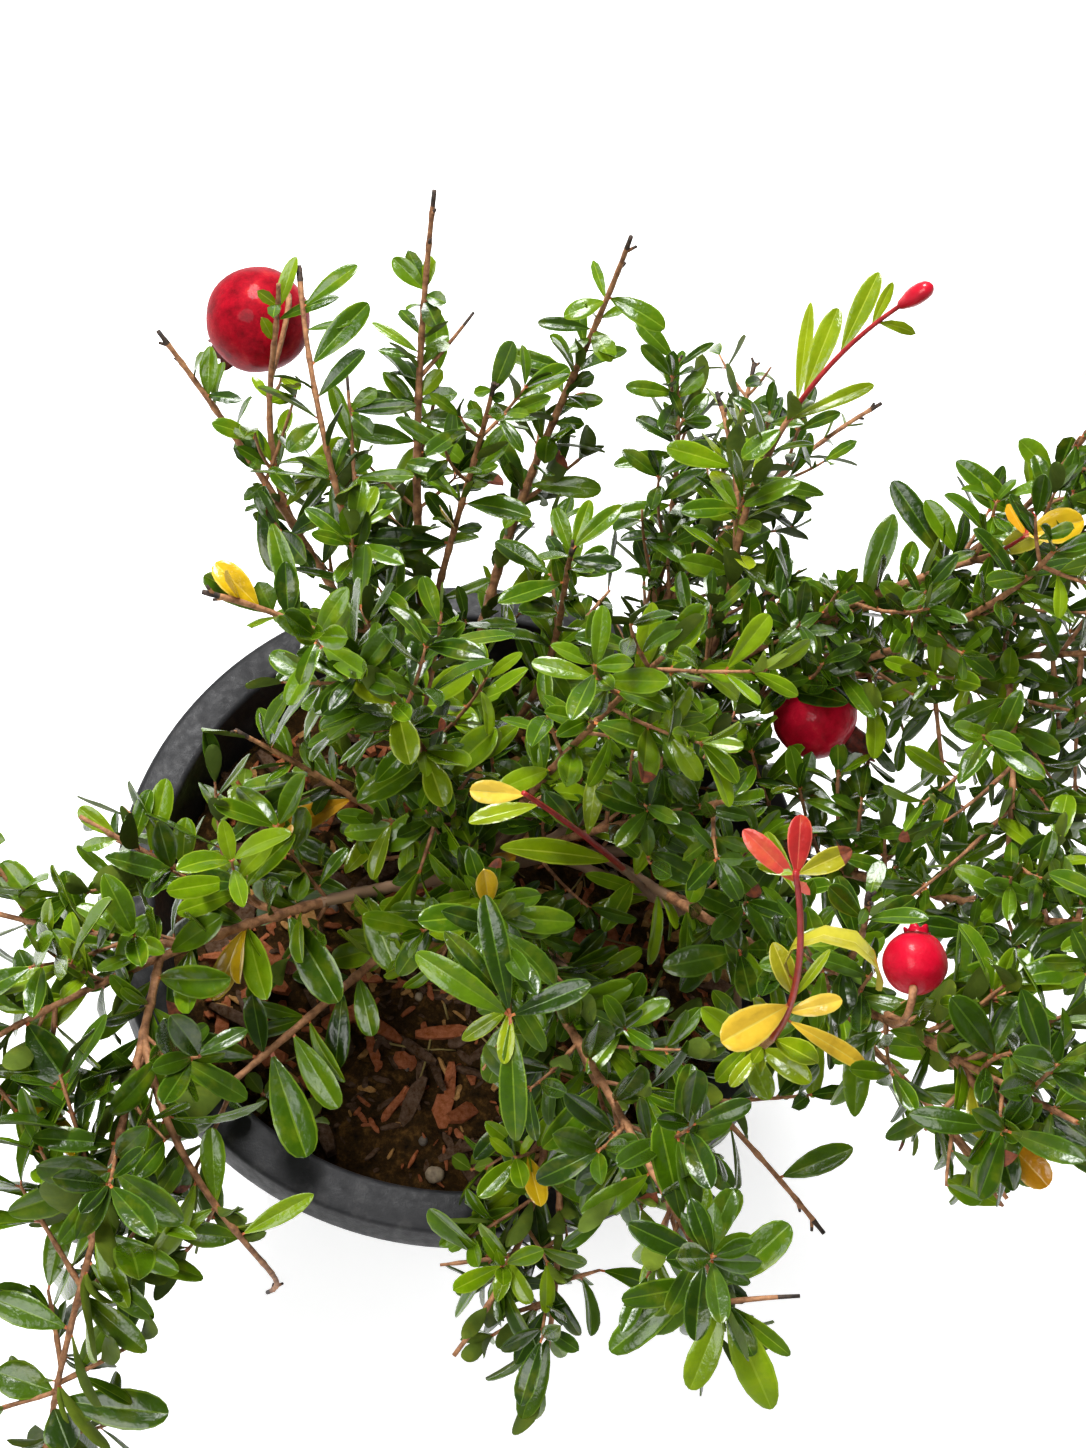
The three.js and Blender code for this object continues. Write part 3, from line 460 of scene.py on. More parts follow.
        (0.7, (1048, 1186), 8, 9.0, "golden", 15), (0.5, (986, 1142), 10, 8.4, "ochre", 20),
    ]),
    ("centre_left", [
        (1.0, (350, 672), 4, 9.6, "lime", 25), (0.97, (410, 764), 6, 9.0, "lime", 20),
        ((415, 762), (444, 806), 6, 9.0, "lime", 20),
    ]),
    ("inner_west", [((388, 826), (346, 872), 16, 7.6, "lime", 25)]),
    ("southeast_low", [
        ((780, 1000), (786, 1100), 4, 8.8, "green", 15), ((800, 1010), (813, 1098), 4, 8.4, "fresh", 20),
        ((760, 1000), (764, 1088), 2, 7.6, "deep", 20),
    ]),
    ("northwest", [
        ((222, 388), (210, 346), 4, 6.4, "green", 20), ((212, 388), (242, 400), 2, 4.8, "deep", 20),
    ]),
]
# The leaves nearest the camera at these pixels take these tones: turned colours, and the dark green.
TURNED = {
    "yellow": [(237, 580), (462, 535), (480, 895), (220, 965), (50, 1137), (245, 935), (545, 1165)],
    "golden": [(520, 870), (135, 790), (300, 832)],
    "lime": [(365, 850), (340, 940)],
    "deep": [(540, 936), (500, 930), (565, 960)],
}
TURNED_REACH = 22
# The tips of the leaves that end nearest these pixels have withered.
WITHERED_TIPS = [(172, 1020), (73, 1092), (186, 1186), (348, 690), (852, 850)]
# Round-leaved seedlings stand on the soil at these pixels.
SEEDLINGS = [(233, 812), (222, 838), (246, 790), (298, 1138), (312, 1120), (262, 1092), (470, 1172)]

# Between these corners (across, down) the photograph shows its bare background, a fruit or the pot
# behind no leaf. Nothing that grows by the rule shows there.
OPEN = {
    "left_of_crown": [
        (0, 0), (200, 0), (200, 285), (188, 320), (158, 318), (155, 345), (195, 410), (222, 430),
        (228, 480), (238, 510), (245, 555), (208, 560), (212, 600), (215, 620), (165, 690), (140, 745),
        (125, 785), (100, 795), (75, 805), (75, 835), (62, 868), (35, 860), (0, 850),
    ],
    "over_first_fruit": [
        (200, 0), (426, 0), (422, 185), (410, 240), (388, 255), (385, 300), (398, 328), (385, 345),
        (372, 330), (372, 298), (352, 258), (325, 262), (300, 250), (285, 262), (250, 262), (205, 290),
    ],
    "first_fruit": [
        (215, 300), (240, 272), (270, 268), (292, 280), (282, 300), (262, 300), (290, 340), (285, 362),
        (255, 374), (232, 370), (210, 340),
    ],
    "north_tall_to_north": [
        (440, 0), (622, 0), (625, 235), (608, 270), (592, 262), (590, 285), (563, 298), (562, 318),
        (540, 318), (538, 330), (503, 345), (500, 358), (522, 385), (493, 392), (480, 385), (470, 400),
        (462, 392), (455, 375), (440, 360), (445, 345), (475, 325), (478, 305), (455, 300), (450, 270),
        (440, 235), (442, 185),
    ],
    "north_to_bud": [
        (640, 0), (890, 0), (885, 268), (845, 310), (815, 298), (800, 315), (798, 375), (788, 395),
        (783, 358), (755, 338), (735, 343), (715, 338), (695, 342), (680, 335), (668, 318), (660, 298),
        (625, 292), (640, 240),
    ],
    "right_of_bud": [
        (935, 0), (1086, 0), (1086, 432), (1058, 440), (1045, 455), (1018, 435), (1012, 462), (985, 470),
        (955, 458), (950, 472), (928, 500), (908, 475), (890, 478), (893, 505), (878, 515), (862, 545),
        (858, 570), (842, 572), (822, 556), (822, 522), (840, 520), (830, 500), (858, 462), (858, 440),
        (897, 410), (897, 392), (880, 385), (905, 345), (925, 330), (940, 300), (942, 275),
    ],
    "below_first_fruit": [(247, 382), (281, 388), (270, 432), (255, 418), (236, 400)],
    "right_of_fruit_shoot": [(302, 385), (318, 396), (326, 425), (300, 432), (291, 442)],
    "left_of_north_tall": [(372, 360), (398, 352), (400, 392), (378, 395), (366, 380)],
    "left_of_north_tall_low": [(359, 432), (398, 430), (398, 464), (375, 468), (360, 455)],
    "right_of_north_tall": [(411, 484), (430, 472), (436, 490), (425, 522), (409, 520)],
    "right_of_north_small": [(484, 478), (500, 482), (502, 535), (488, 545)],
    "right_of_north": [(533, 503), (548, 505), (550, 548), (533, 545)],
    "right_of_north_mid": [(578, 512), (597, 500), (600, 530), (592, 555), (578, 548)],
    "below_back": [(602, 557), (640, 560), (650, 590), (615, 600), (602, 590)],
    "over_rim": [(425, 555), (455, 545), (480, 560), (480, 580), (430, 580)],
    "left_of_back": [(604, 475), (648, 475), (650, 505), (620, 510), (600, 500)],
    "left_of_back_high": [(606, 395), (625, 395), (650, 450), (615, 452), (600, 430)],
    "right_of_northeast": [(795, 540), (822, 535), (836, 570), (815, 570), (795, 560)],
    "second_fruit": [
        (768, 702), (800, 696), (840, 698), (862, 712), (880, 736), (850, 744), (815, 744), (780, 736),
    ],
    "right_of_first_fruit": [
        (282, 256), (376, 256), (386, 300), (386, 346), (366, 346), (345, 378), (336, 398), (310, 386),
        (286, 345),
    ],
    "leaves_of_red_stem": [
        (502, 834), (560, 828), (620, 868), (652, 905), (600, 905), (560, 882), (512, 862),
    ],
    "left_of_northwest": [(224, 430), (238, 446), (256, 478), (240, 502), (235, 520), (215, 520)],
    "below_northwest": [(283, 490), (302, 505), (320, 530), (318, 538), (300, 540), (288, 525), (282, 508)],
    "left_of_rim": [(300, 570), (318, 570), (326, 586), (350, 600), (328, 597), (300, 603), (297, 585)],
    "below_north_small": [(464, 490), (496, 492), (500, 522), (485, 515), (472, 522), (461, 506)],
    "along_red_stem": [
        (572, 820), (590, 822), (634, 860), (664, 892), (676, 930), (660, 930), (640, 898), (604, 872),
        (576, 846),
    ],
    "left_edge": [(0, 918), (28, 920), (14, 948), (16, 985), (0, 1002)],
    "left_of_southwest_tip": [(182, 1142), (203, 1142), (204, 1180), (186, 1194), (183, 1165)],
    "right_of_southwest_tip": [(206, 1192), (226, 1195), (236, 1215), (205, 1210)],
    "between_left_leaves": [(27, 1180), (40, 1182), (52, 1205), (50, 1225), (28, 1222)],
    "left_gap_high": [(45, 1110), (85, 1110), (88, 1130), (72, 1135), (48, 1122)],
    "third_fruit": [
        (884, 945), (900, 932), (930, 932), (946, 950), (944, 980), (920, 996), (898, 992), (884, 975),
    ],
    "right_of_second_fruit": [(903, 762), (917, 760), (915, 800), (906, 818)],
    "far_right_of_second_fruit": [(930, 712), (955, 712), (958, 748), (952, 783), (932, 775)],
    "between_near_leaves": [(598, 1240), (632, 1250), (640, 1290), (612, 1300), (600, 1275)],
    "rim_left": [
        (140, 760), (200, 675), (262, 635), (290, 640), (240, 690), (195, 740), (165, 800), (140, 790),
    ],
    "rim_front": [
        (225, 1135), (300, 1165), (340, 1185), (430, 1215), (415, 1245), (300, 1195), (240, 1155),
    ],
    "soil": [
        (335, 1050), (360, 1010), (425, 1000), (450, 1050), (495, 1100), (480, 1140), (450, 1160),
        (455, 1185), (400, 1175), (340, 1155), (315, 1130),
    ],
    "below_rim_left": [(225, 1140), (240, 1165), (290, 1200), (250, 1215), (215, 1195), (200, 1150)],
    "right_gap_low": [(905, 1050), (935, 1055), (962, 1085), (960, 1100), (935, 1108), (915, 1085)],
    "right_gap_lowest": [(862, 1100), (880, 1075), (900, 1095), (890, 1115), (868, 1118)],
    "along_west": [
        (0, 1028), (150, 965), (250, 920), (390, 862), (394, 882), (255, 940), (155, 985), (0, 1052),
    ],
    "along_southwest": [(190, 1112), (270, 1040), (345, 975), (352, 990), (280, 1058), (200, 1128)],
    "below_left": [
        (172, 1448), (172, 1405), (150, 1362), (168, 1322), (168, 1300), (185, 1275), (205, 1250),
        (240, 1247), (268, 1310), (280, 1300), (262, 1240), (320, 1205), (345, 1220), (405, 1250),
        (440, 1285), (470, 1300), (440, 1325), (450, 1365), (500, 1352), (500, 1400), (520, 1428),
        (515, 1448),
    ],
    "below_middle": [
        (530, 1448), (535, 1425), (548, 1365), (575, 1355), (600, 1345), (615, 1358), (660, 1352),
        (680, 1330), (685, 1385), (710, 1395), (722, 1370), (735, 1400), (770, 1420), (780, 1400),
        (765, 1370), (800, 1360), (795, 1340), (765, 1330), (740, 1310), (800, 1305), (800, 1290),
        (750, 1290), (770, 1260), (812, 1225), (840, 1240), (840, 1448),
    ],
    "left_of_south_twig": [(745, 1150), (775, 1165), (800, 1215), (775, 1222), (748, 1210)],
    "below_right": [
        (840, 1448), (840, 1240), (745, 1115), (812, 1105), (842, 1098), (850, 1122), (880, 1125),
        (893, 1150), (905, 1172), (925, 1160), (945, 1165), (940, 1185), (985, 1212), (1012, 1212),
        (1012, 1185), (1060, 1188), (1078, 1120), (1086, 1120), (1086, 1448),
    ],
    "left_gap": [(0, 1215), (18, 1222), (40, 1225), (48, 1250), (60, 1262), (50, 1278), (0, 1275)],
    "left_gap_low": [(0, 1310), (50, 1310), (62, 1330), (45, 1345), (0, 1338)],
    "left_gap_lowest": [(0, 1388), (35, 1385), (50, 1400), (48, 1448), (0, 1448)],
}

# Each fruit hangs by its stalk from a branch, where the photograph shows it. Its crown points along
# its axis, and is `tall` and opens `flare` times as much as the usual one.
FRUITS = [
    # branch, the stalk's share of it, the fruit's pixel, depth, radius, axis and skin, tall, flare
    ("fruit_shoot", 0.6, (258, 320), 676, 17.5, (-0.56, -0.1, -0.82), "ripe", 0.7, 0.6),
    ("east_middle", 0.4, (815, 717), 700, 14.8, (0.92, -0.32, -0.22), "painted_light", 1.5, -0.9),
    ("southeast_near", 0.68, (915, 963), 560, 9, (0.08, 0.95, -0.3), "young", 0.75, 0.9),
]
BUD = {"branch": "bud_shoot", "length": 13, "width": 6.4, "sunk": 0.38}

# ---------- the photographer's camera ----------

PHOTO = {"width": 1086, "height": 1448}
CAMERA = {"focal": 2011, "elevation": 63, "distance": 760, "roll": 8, "target": (20, 69, 205)}
SENSOR = 36  # mm, on the long side


def camera_axes():
    """The camera's right, up and backward directions in the part's frame."""
    tilt = math.radians(CAMERA["elevation"])
    roll = math.radians(CAMERA["roll"])
    back = np.array([0.0, -math.cos(tilt), math.sin(tilt)])
    level = np.array([1.0, 0.0, 0.0])
    upright = np.cross(back, level)
    right = level * math.cos(roll) + upright * math.sin(roll)
    up = -level * math.sin(roll) + upright * math.cos(roll)
    return right, up, back


RIGHT, ABOVE, BACK = camera_axes()
EYE = np.array(CAMERA["target"], float) + BACK * CAMERA["distance"]


def to_photo(points):
    """The picture positions and depths of points, in pixels of the photograph and millimetres."""
    seen = np.atleast_2d(points) - EYE
    depth = -seen @ BACK
    across = PHOTO["width"] / 2 + CAMERA["focal"] * (seen @ RIGHT) / depth
    down = PHOTO["height"] / 2 - CAMERA["focal"] * (seen @ ABOVE) / depth
    return np.stack([across, down], axis=1), depth


def from_photo(pixel, depth):
    """The point that lies at a depth behind a pixel of the photograph."""
    across = (pixel[0] - PHOTO["width"] / 2) / CAMERA["focal"]
    down = (pixel[1] - PHOTO["height"] / 2) / CAMERA["focal"]
    return EYE + depth * (across * RIGHT - down * ABOVE - BACK)


# ---------- small helpers ----------


class Dice:
    """A repeatable row of numbers."""

    def __init__(self, seed):
        self.state = seed % 2**32

    def roll(self, low=0.0, high=1.0):
        self.state = (self.state * 1664525 + 1013904223) % 2**32
        return low + (high - low) * self.state / 2**32

    def way(self, spread):
        """A number from minus a half to a half of a spread."""
        return self.roll(-0.5, 0.5) * spread

    def pick(self, chances):
        left = self.roll() * sum(chances.values())
        for name, chance in chances.items():
            left -= chance
            if left < 0:
                return name
        return name


def unit(vectors):
    return vectors / np.linalg.norm(vectors, axis=-1, keepdims=True)


def heading(azimuth, rise):
    azimuth, rise = np.radians(azimuth), np.radians(rise)
    level = np.cos(rise)
    return np.stack([np.cos(azimuth) * level, np.sin(azimuth) * level, np.sin(rise)], axis=-1)


def turned_about(vector, axis, angle):
    """A vector turned about a unit axis by an angle in degrees."""
    angle = math.radians(angle)
    cross = np.cross(axis, vector)
    along = axis * (axis @ vector)
    return vector * math.cos(angle) + cross * math.sin(angle) + along * (1 - math.cos(angle))


def side_of(along, angle):
    """The side of a twig at an angle round it, counted from a level line."""
    level = np.cross(along, UP)
    if np.linalg.norm(level) < SMALL:
        level = np.array([1.0, 0.0, 0.0]) - along * along[0]
    return turned_about(unit(level), along, angle)


def leaning(along, side, lean):
    return along * math.cos(math.radians(lean)) + side * math.sin(math.radians(lean))


def mixed(a, b, share):
    return np.asarray(a) * (1 - share) + np.asarray(b) * share


def bumps(points, size, seed):
    """Smooth noise of about -1 to 1 at each point, with lumps of about `size`."""
    rng = np.random.default_rng(seed)
    total = np.zeros(len(points))
    for _ in range(BUMP_WAVES):
        wave = unit(rng.normal(size=3)) * 2 * math.pi / (size * rng.uniform(0.6, 1.7))
        total += np.sin(points @ wave + rng.uniform(0, 2 * math.pi))
    return total / BUMP_HEIGHT


# ---------- materials ----------


def set_inputs(node, values):
    for name, value in values.items():
        node.inputs[name].default_value = value
    return node


def linear(red, green, blue):
    """A colour as the eye names it, from 0 to 255, as the light that it reflects."""
    parts = [part / 255 for part in (red, green, blue)]
    return tuple(part / 12.92 if part < 0.04045 else ((part + 0.055) / 1.055) ** 2.4 for part in parts)


class Finish:
    """A Principled material whose colour and bump come from noise in the part's own space."""

    def __init__(self, name, roughness, specular=0.5, coat=0.0, coat_roughness=0.1):
        self.material = bpy.data.materials.new(name)
        self.material.use_nodes = True
        self.tree = self.material.node_tree
        gloss = {"Roughness": roughness, "Specular IOR Level": specular}
        gloss |= {"Coat Weight": coat, "Coat Roughness": coat_roughness}
        self.shader = set_inputs(self.tree.nodes["Principled BSDF"], gloss)
        self.place = self.tree.nodes.new("ShaderNodeTexCoord").outputs["Object"]

    def node(self, kind, linked, values):
        """A node with one socket linked to a value, and with others set."""
        made = set_inputs(self.tree.nodes.new(kind), values)
        for name, value in linked.items():
            self.tree.links.new(value, made.inputs[name])
        return made.outputs

    def noise(self, size, detail=2.0, roughness=0.5):
        """Noise with lumps of `size` millimetres."""
        grain = {"Scale": 1 / (size * MM), "Detail": detail, "Roughness": roughness}
        return self.node("ShaderNodeTexNoise", {"Vector": self.place}, grain)["Fac"]

    def colour(self, stops, size, **grain):
        """Colours dealt out by noise: `stops` is a list of (place, colour)."""
        ramp = self.tree.nodes.new("ShaderNodeValToRGB")
        elements = ramp.color_ramp.elements
        while len(elements) < len(stops):
            elements.new(0.5)
        for element, (place, colour) in zip(elements, stops):
            element.position = place
            element.color = (*colour, 1)
        self.tree.links.new(self.noise(size, **grain), ramp.inputs["Fac"])
        self.tree.links.new(ramp.outputs["Color"], self.shader.inputs["Base Color"])
        return self

    def tints(self, stops, size, **grain):
        """The same for colours as the eye names them."""
        return self.colour([(place, linear(*colour)) for place, colour in stops], size, **grain)

    def rough(self, value, low, high):
        """Roughness that runs from low to high as the value does from 0.3 to 0.7."""
        ends = {"From Min": 0.3, "From Max": 0.7, "To Min": low, "To Max": high}
        spread = self.node("ShaderNodeMapRange", {"Value": value}, ends)["Result"]
        self.tree.links.new(spread, self.shader.inputs["Roughness"])

    def bump(self, height, size, **grain):
        """Relief of `height` millimetres. The finish ends with it."""
        size_of_bump = {"Strength": 1.0, "Distance": height * MM}
        relief = self.node("ShaderNodeBump", {"Height": self.noise(size, **grain)}, size_of_bump)
        self.tree.links.new(relief["Normal"], self.shader.inputs["Normal"])
        return self.material


def two_tone(name, low, high, size, roughness=0.6, specular=0.4, detail=3.0):
    """A finish whose colour wanders between two colours, in patches of `size` millimetres."""
    finish = Finish(name, roughness, specular)
    return finish.tints([(0.34, low), (0.66, high)], size, detail=detail, roughness=0.6)


PETIOLE = two_tone("petiole", (150, 70, 40), (178, 110, 56), 3, roughness=0.45).material
BROWN = two_tone("withered_tip", (74, 34, 20), (132, 66, 34), 2, roughness=0.7).material
BARK = two_tone("twig_bark", (106, 68, 42), (176, 126, 86), 3, 0.65, 0.35, 5.0).bump(0.3, 0.9, detail=3)
RED_BARK = two_tone("young_bark", (128, 16, 24), (168, 44, 42), 4, 0.4, 0.35).material
DARK_BARK = two_tone("dead_tip", (30, 24, 20), (74, 56, 44), 1.5, roughness=0.75).material
# The trunk and the boughs have their relief in the mesh, and the imported model's own bark for its colour.
OLD_BARK = bpy.data.materials["bark"]

# Each tone of leaf: three tints of its upper side, the line of its midrib and edge, its underside.
TONES = {
    "deep": [(35, 59, 3), (45, 70, 5), (54, 80, 7), (86, 118, 32), (72, 90, 32)],
    "green": [(56, 86, 3), (67, 97, 5), (78, 108, 7), (114, 142, 36), (84, 102, 34)],
    "fresh": [(82, 113, 4), (95, 125, 6), (107, 133, 10), (138, 160, 40), (98, 116, 34)],
    "lime": [(100, 122, 6), (112, 132, 8), (122, 138, 12), (152, 164, 50), (118, 134, 42)],
    "ochre": [(152, 148, 30), (166, 158, 40), (138, 134, 24), (182, 172, 74), (168, 158, 62)],
    "butter": [(206, 172, 62), (212, 182, 76), (198, 162, 46), (180, 164, 64), (198, 172, 80)],
    "yellow": [(188, 152, 16), (198, 162, 26), (176, 140, 12), (206, 178, 76), (184, 158, 56)],
    "golden": [(186, 126, 16), (196, 142, 26), (172, 112, 18), (204, 160, 62), (176, 128, 46)],
    "coral": [(178, 50, 44), (188, 66, 54), (168, 40, 38), (198, 94, 76), (180, 72, 60)],
    "seedling": [(92, 118, 26), (104, 128, 32), (82, 108, 22), (126, 146, 56), (108, 128, 56)],
}
LINE_PALE = 0.55  # how far the midrib's and the edge's colour stands off from the blade's
TINTS = 3
YOUNG_TONES = ["lime", "ochre", "butter", "yellow", "golden", "coral"]
# Roughness, specular, coat and coat roughness.
TOP_GLOSS = (0.24, 0.3, 0.12, 0.08)
UNDER_GLOSS = (0.55, 0.14)


def leaf_finish(name, colour, gloss):
    """A leaf's colour, faintly cloudy, with the fine dimples that break up its shine."""
    dark = mixed(colour, (0, 0, 0), 0.2)
    light = mixed(colour, linear(190, 190, 40), 0.1)
    finish = Finish(name, *gloss)
    finish.colour([(0.32, dark), (0.52, colour), (0.7, light)], 9, detail=3, roughness=0.6)
    return finish.bump(0.3 if gloss is TOP_GLOSS else 0.2, 2.6)


def leaf_materials(tone):
    """A tone's materials in the order that leaf faces count them."""
    *tops, line, under = [linear(*colour) for colour in TONES[tone]]
    made = [leaf_finish(f"{tone}_{number + 1}", top, TOP_GLOSS) for number, top in enumerate(tops)]
    line = leaf_finish(f"{tone}_line", mixed(tops[1], line, LINE_PALE), TOP_GLOSS)
    return [*made, line, leaf_finish(f"{tone}_underside", under, UNDER_GLOSS), PETIOLE, BROWN]


# ---------- meshes ----------


class Shell:
    """Corners and faces that are put together as arrays and become one piece."""

    def __init__(self):
        self.points = []
        self.corners = []
        self.sizes = []
        self.kinds = []
        self.count = 0

    def add(self, points, faces, kinds=0):
        """Adds faces of equal size, given as rows of corner numbers of these points."""
        self.points.append(points)
        self.more(faces, kinds, self.count)
        self.count += len(points)

    def more(self, faces, kinds, offset):
        """Adds faces of points that are there already, from number `offset` on."""
        faces = np.asarray(faces)
        self.corners.append((faces + offset).ravel())
        self.sizes.append(np.full(len(faces), faces.shape[1]))
        self.kinds.append(np.broadcast_to(kinds, len(faces)))

    def add_tube(self, rings, sides, kinds=0):
        """Rings of points, joined up and closed flat at both ends. There's a kind for each gap."""
        count = len(rings) // sides
        kinds = np.broadcast_to(kinds, count - 1)
        offset, ring = self.count, np.arange(sides)
        self.add(rings, ring_faces(count, sides), np.repeat(kinds, sides))
        self.more([ring[::-1]], kinds[0], offset)
        self.more([(count - 1) * sides + ring], kinds[-1], offset)

    def add_ball(self, points, sides, kind=0):
        """Rings of points, joined up, and closed with fans to the last two points."""
        count = len(points) - 2
        offset, here = self.count, np.arange(sides)
        after, last = (here + 1) % sides, count - sides
        self.add(points, ring_faces(count // sides, sides), kind)
        self.more(np.stack([after, here, np.full(sides, count)], axis=1), kind, offset)
        self.more(np.stack([last + here, last + after, np.full(sides, count + 1)], axis=1), kind, offset)

    def piece(self, name, materials, slot, sharp_angle=None):
        points = np.concatenate(self.points) * MM
        corners = np.concatenate(self.corners).astype(np.int32)
        sizes = np.concatenate(self.sizes)
        mesh = bpy.data.meshes.new(name)
        mesh.vertices.add(len(points))
        mesh.vertices.foreach_set("co", points.astype(np.float32).ravel())
        mesh.loops.add(len(corners))
        mesh.loops.foreach_set("vertex_index", corners)
        mesh.polygons.add(len(sizes))
        starts = np.concatenate([[0], np.cumsum(sizes)[:-1]]).astype(np.int32)
        mesh.polygons.foreach_set("loop_start", starts)
        mesh.polygons.foreach_set("material_index", np.concatenate(self.kinds).astype(np.int32))
        for material in materials:
            mesh.materials.append(material)
        mesh.update(calc_edges=True)
        mesh.validate()
        mesh.shade_smooth()
        if sharp_angle is not None:
            mesh.set_sharp_from_angle(angle=math.radians(sharp_angle))
        piece = bpy.data.objects.new(name, mesh)
        bpy.context.scene.collection.objects.link(piece)
        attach(piece, "root")
        return piece


def ring_faces(count, sides):
    """The quads between rings of points."""
    row = np.arange(count - 1)[:, None]
    column = np.arange(sides)[None, :]
    after = (column + 1) % sides
    here, there = row * sides, (row + 1) * sides
    return np.stack([here + column, here + after, there + after, there + column], axis=-1).reshape(-1, 4)


def angles_round(sides):
    return np.arange(sides) * 2 * math.pi / sides


def ring_points(out, height, angle):
    """Points at a distance from +Z, a height and an angle round it, all arrays that fit together."""
    return np.stack([out * np.cos(angle), out * np.sin(angle), height + 0 * angle], axis=-1)


def ball_angles(rows, sides):
    """How far the rings of a ball are from its foot and how far round it their points are."""
    return np.linspace(0, math.pi, rows + 1)[1:-1][:, None], angles_round(sides)[None, :]


def tube(shell, line, radii, sides, kinds=0, relief=None):
    """A closed tube of round section along a line of points, with a kind for each gap between them."""
    line = np.asarray(line, float)
    along = unit(np.gradient(line, axis=0))
    side = unit(np.cross(along[0], UP if abs(along[0][2]) < UPRIGHT else RIGHT))
    frames = []
    for direction in along:
        side = unit(side - direction * (side @ direction))
        frames.append((side, np.cross(direction, side)))
    across, above = (axes[:, None] for axes in np.array(frames).swapaxes(0, 1))
    angle = angles_round(sides)[None, :, None]
    out = across * np.cos(angle) + above * np.sin(angle)
    radii = np.asarray(radii, float)[:, None, None]
    rings = (line[:, None] + out * radii).reshape(-1, 3)
    if relief is not None:
        far = np.repeat(radii.ravel(), sides)
        rings = rings + out.reshape(-1, 3) * relief(rings)[:, None] * far[:, None]
    shell.add_tube(rings, sides, kinds)


# ---------- the plant's limbs ----------


class Limb:
    """An arc that starts at a root and swings by `turn` and `bend` over its length."""

    def __init__(self, root, azimuth, rise, length, bend, turn, radii=None):
        self.azimuth, self.rise, self.length, self.bend, self.turn = azimuth, rise, length, bend, turn
        self.radii = radii
        t = (np.arange(ARC_STEPS) + 0.5) / ARC_STEPS
        steps = heading(azimuth + turn * t, rise + bend * t) * length / ARC_STEPS
        self.points = np.vstack([root, root + np.cumsum(steps, axis=0)])
        self.knots = []  # the shares of its length where it bears leaves
        self.stop = 1
        self.red_from = NEVER

    def point(self, share):
        place = np.clip(share, 0, 1) * ARC_STEPS
        return np.stack([np.interp(place, np.arange(ARC_STEPS + 1), axis) for axis in self.points.T], -1)

    def along(self, share):
        return heading(self.azimuth + self.turn * share, self.rise + self.bend * share)

    def radius(self, share):
        return self.radii[0] + (self.radii[1] - self.radii[0]) * share


class Branch(Limb):
    def __init__(self, row, parent):
        self.name, self.parent, at, azimuth, rise, length, bend, turn, radius, self.bare, self.end = row
        radii = (radius * SLIM, STEM_TIP_RADIUS * SLIM)
        super().__init__(parent.point(at), azimuth, rise, length, bend, turn, radii)
        self.red_from = RED_FROM.get(self.name, NEVER)
        self.stop = STOPS_AT.get(self.name, 1)


def angles_of(vector, size=1):
    """The azimuth and the rise of a vector of this size."""
    rise = math.asin(max(-1, min(1, vector[2] / size)))
    return math.degrees(math.atan2(vector[1], vector[0])), math.degrees(rise)


def arc_length(chord, bend):
    """The length of an arc that bends by so much over a chord."""
    half = math.radians(bend) / 2
    return chord * half / math.sin(half) if bend else chord


def reaching(root, tip, bend, radii):
    """A limb from one point to another that turns up by `bend` on its way."""
    chord = tip - root
    size = np.linalg.norm(chord)
    azimuth, rise = angles_of(chord, size)
    return Limb(root, azimuth, rise - bend / 2, arc_length(size, bend), bend, 0, radii)


def aimed(root, pixel, nearer):
    """The point behind a pixel of the photograph that is nearer the camera than a root."""
    return from_photo(pixel, float(to_photo(root)[1][0]) - nearer)


def group_of(name):
    for group, names in GROUPS.items():
        if name in names:
            return group
    return "plain"


def make_shoot(name, branch, share, pixel, nearer, bend, radii):
    root = branches[branch].point(share)
    shoot = reaching(root, aimed(root, pixel, nearer), bend, radii)
    shoot.look = LOOKS[group_of(branch)]
    shoot.red_from = RED_FROM.get(name, NEVER)
    return shoot


def mass_of(branch):
    """The name of the foliage mass that a branch belongs to."""
    return branch.name if branch.bare > 0 else mass_of(branches[branch.parent])


trunk_foot = np.array([0, 0, SOIL["top"] + TRUNK["gap"]])
trunk = Limb(trunk_foot, TRUNK["azimuth"], TRUNK["rise"], TRUNK["length"], 0, 0)
branches = {"trunk": trunk}
for row in BRANCHES:
    branches[row[0]] = Branch(row, branches[row[1]])
stems = [branches[row[0]] for row in BRANCHES]
masses = [branch.name for branch in stems if branch.bare > 0]
shoots = {row[0]: make_shoot(*row, SHOOT_RADII) for row in SHOOTS}
fillings = [
    make_shoot(None, branch, *row, FILLING_BEND, FILLING_RADII) for branch, rows in FILLING for row in rows
]


class Fruit:
    """A fruit, whose stalk starts at its foot on a branch."""

    def __init__(self, branch, at, pixel, depth, radius, axis, skin, tall, flare):
        self.foot = branches[branch].point(at)
        self.centre = from_photo(pixel, depth)
        self.axis = unit(np.array(axis, float))
        self.radius, self.skin, self.tall, self.flare = radius, skin, tall, flare


fruits = [Fruit(*row) for row in FRUITS]


def clear_of_all(points):
    """Whether points keep clear of the pot's wall and lip, the soil, the ground and the fruits."""
    out = np.hypot(points[:, 0], points[:, 1])
    height = points[:, 2]
    inside = (out < POT["lip_inner_radius"] - WALL_CLEAR) & (height > SOIL["top"] + CLEAR)
    outside = (out > POT["band_radius"] + CLEAR) & (height > CLEAR)
    clear = (height > POT["height"] + CLEAR) | inside | outside
    for fruit in fruits:
        clear &= np.linalg.norm(points - fruit.centre, axis=1) > fruit.radius + CLEAR
    return clear.all()


EDGE_STARTS = np.array([corner for corners in OPEN.values() for corner in corners], float)
EDGE_ENDS = np.array([corner for corners in OPEN.values() for corner in corners[1:] + corners[:1]], float)
FIRST_EDGES = np.cumsum([0] + [len(corners) for corners in OPEN.values()])[:-1]


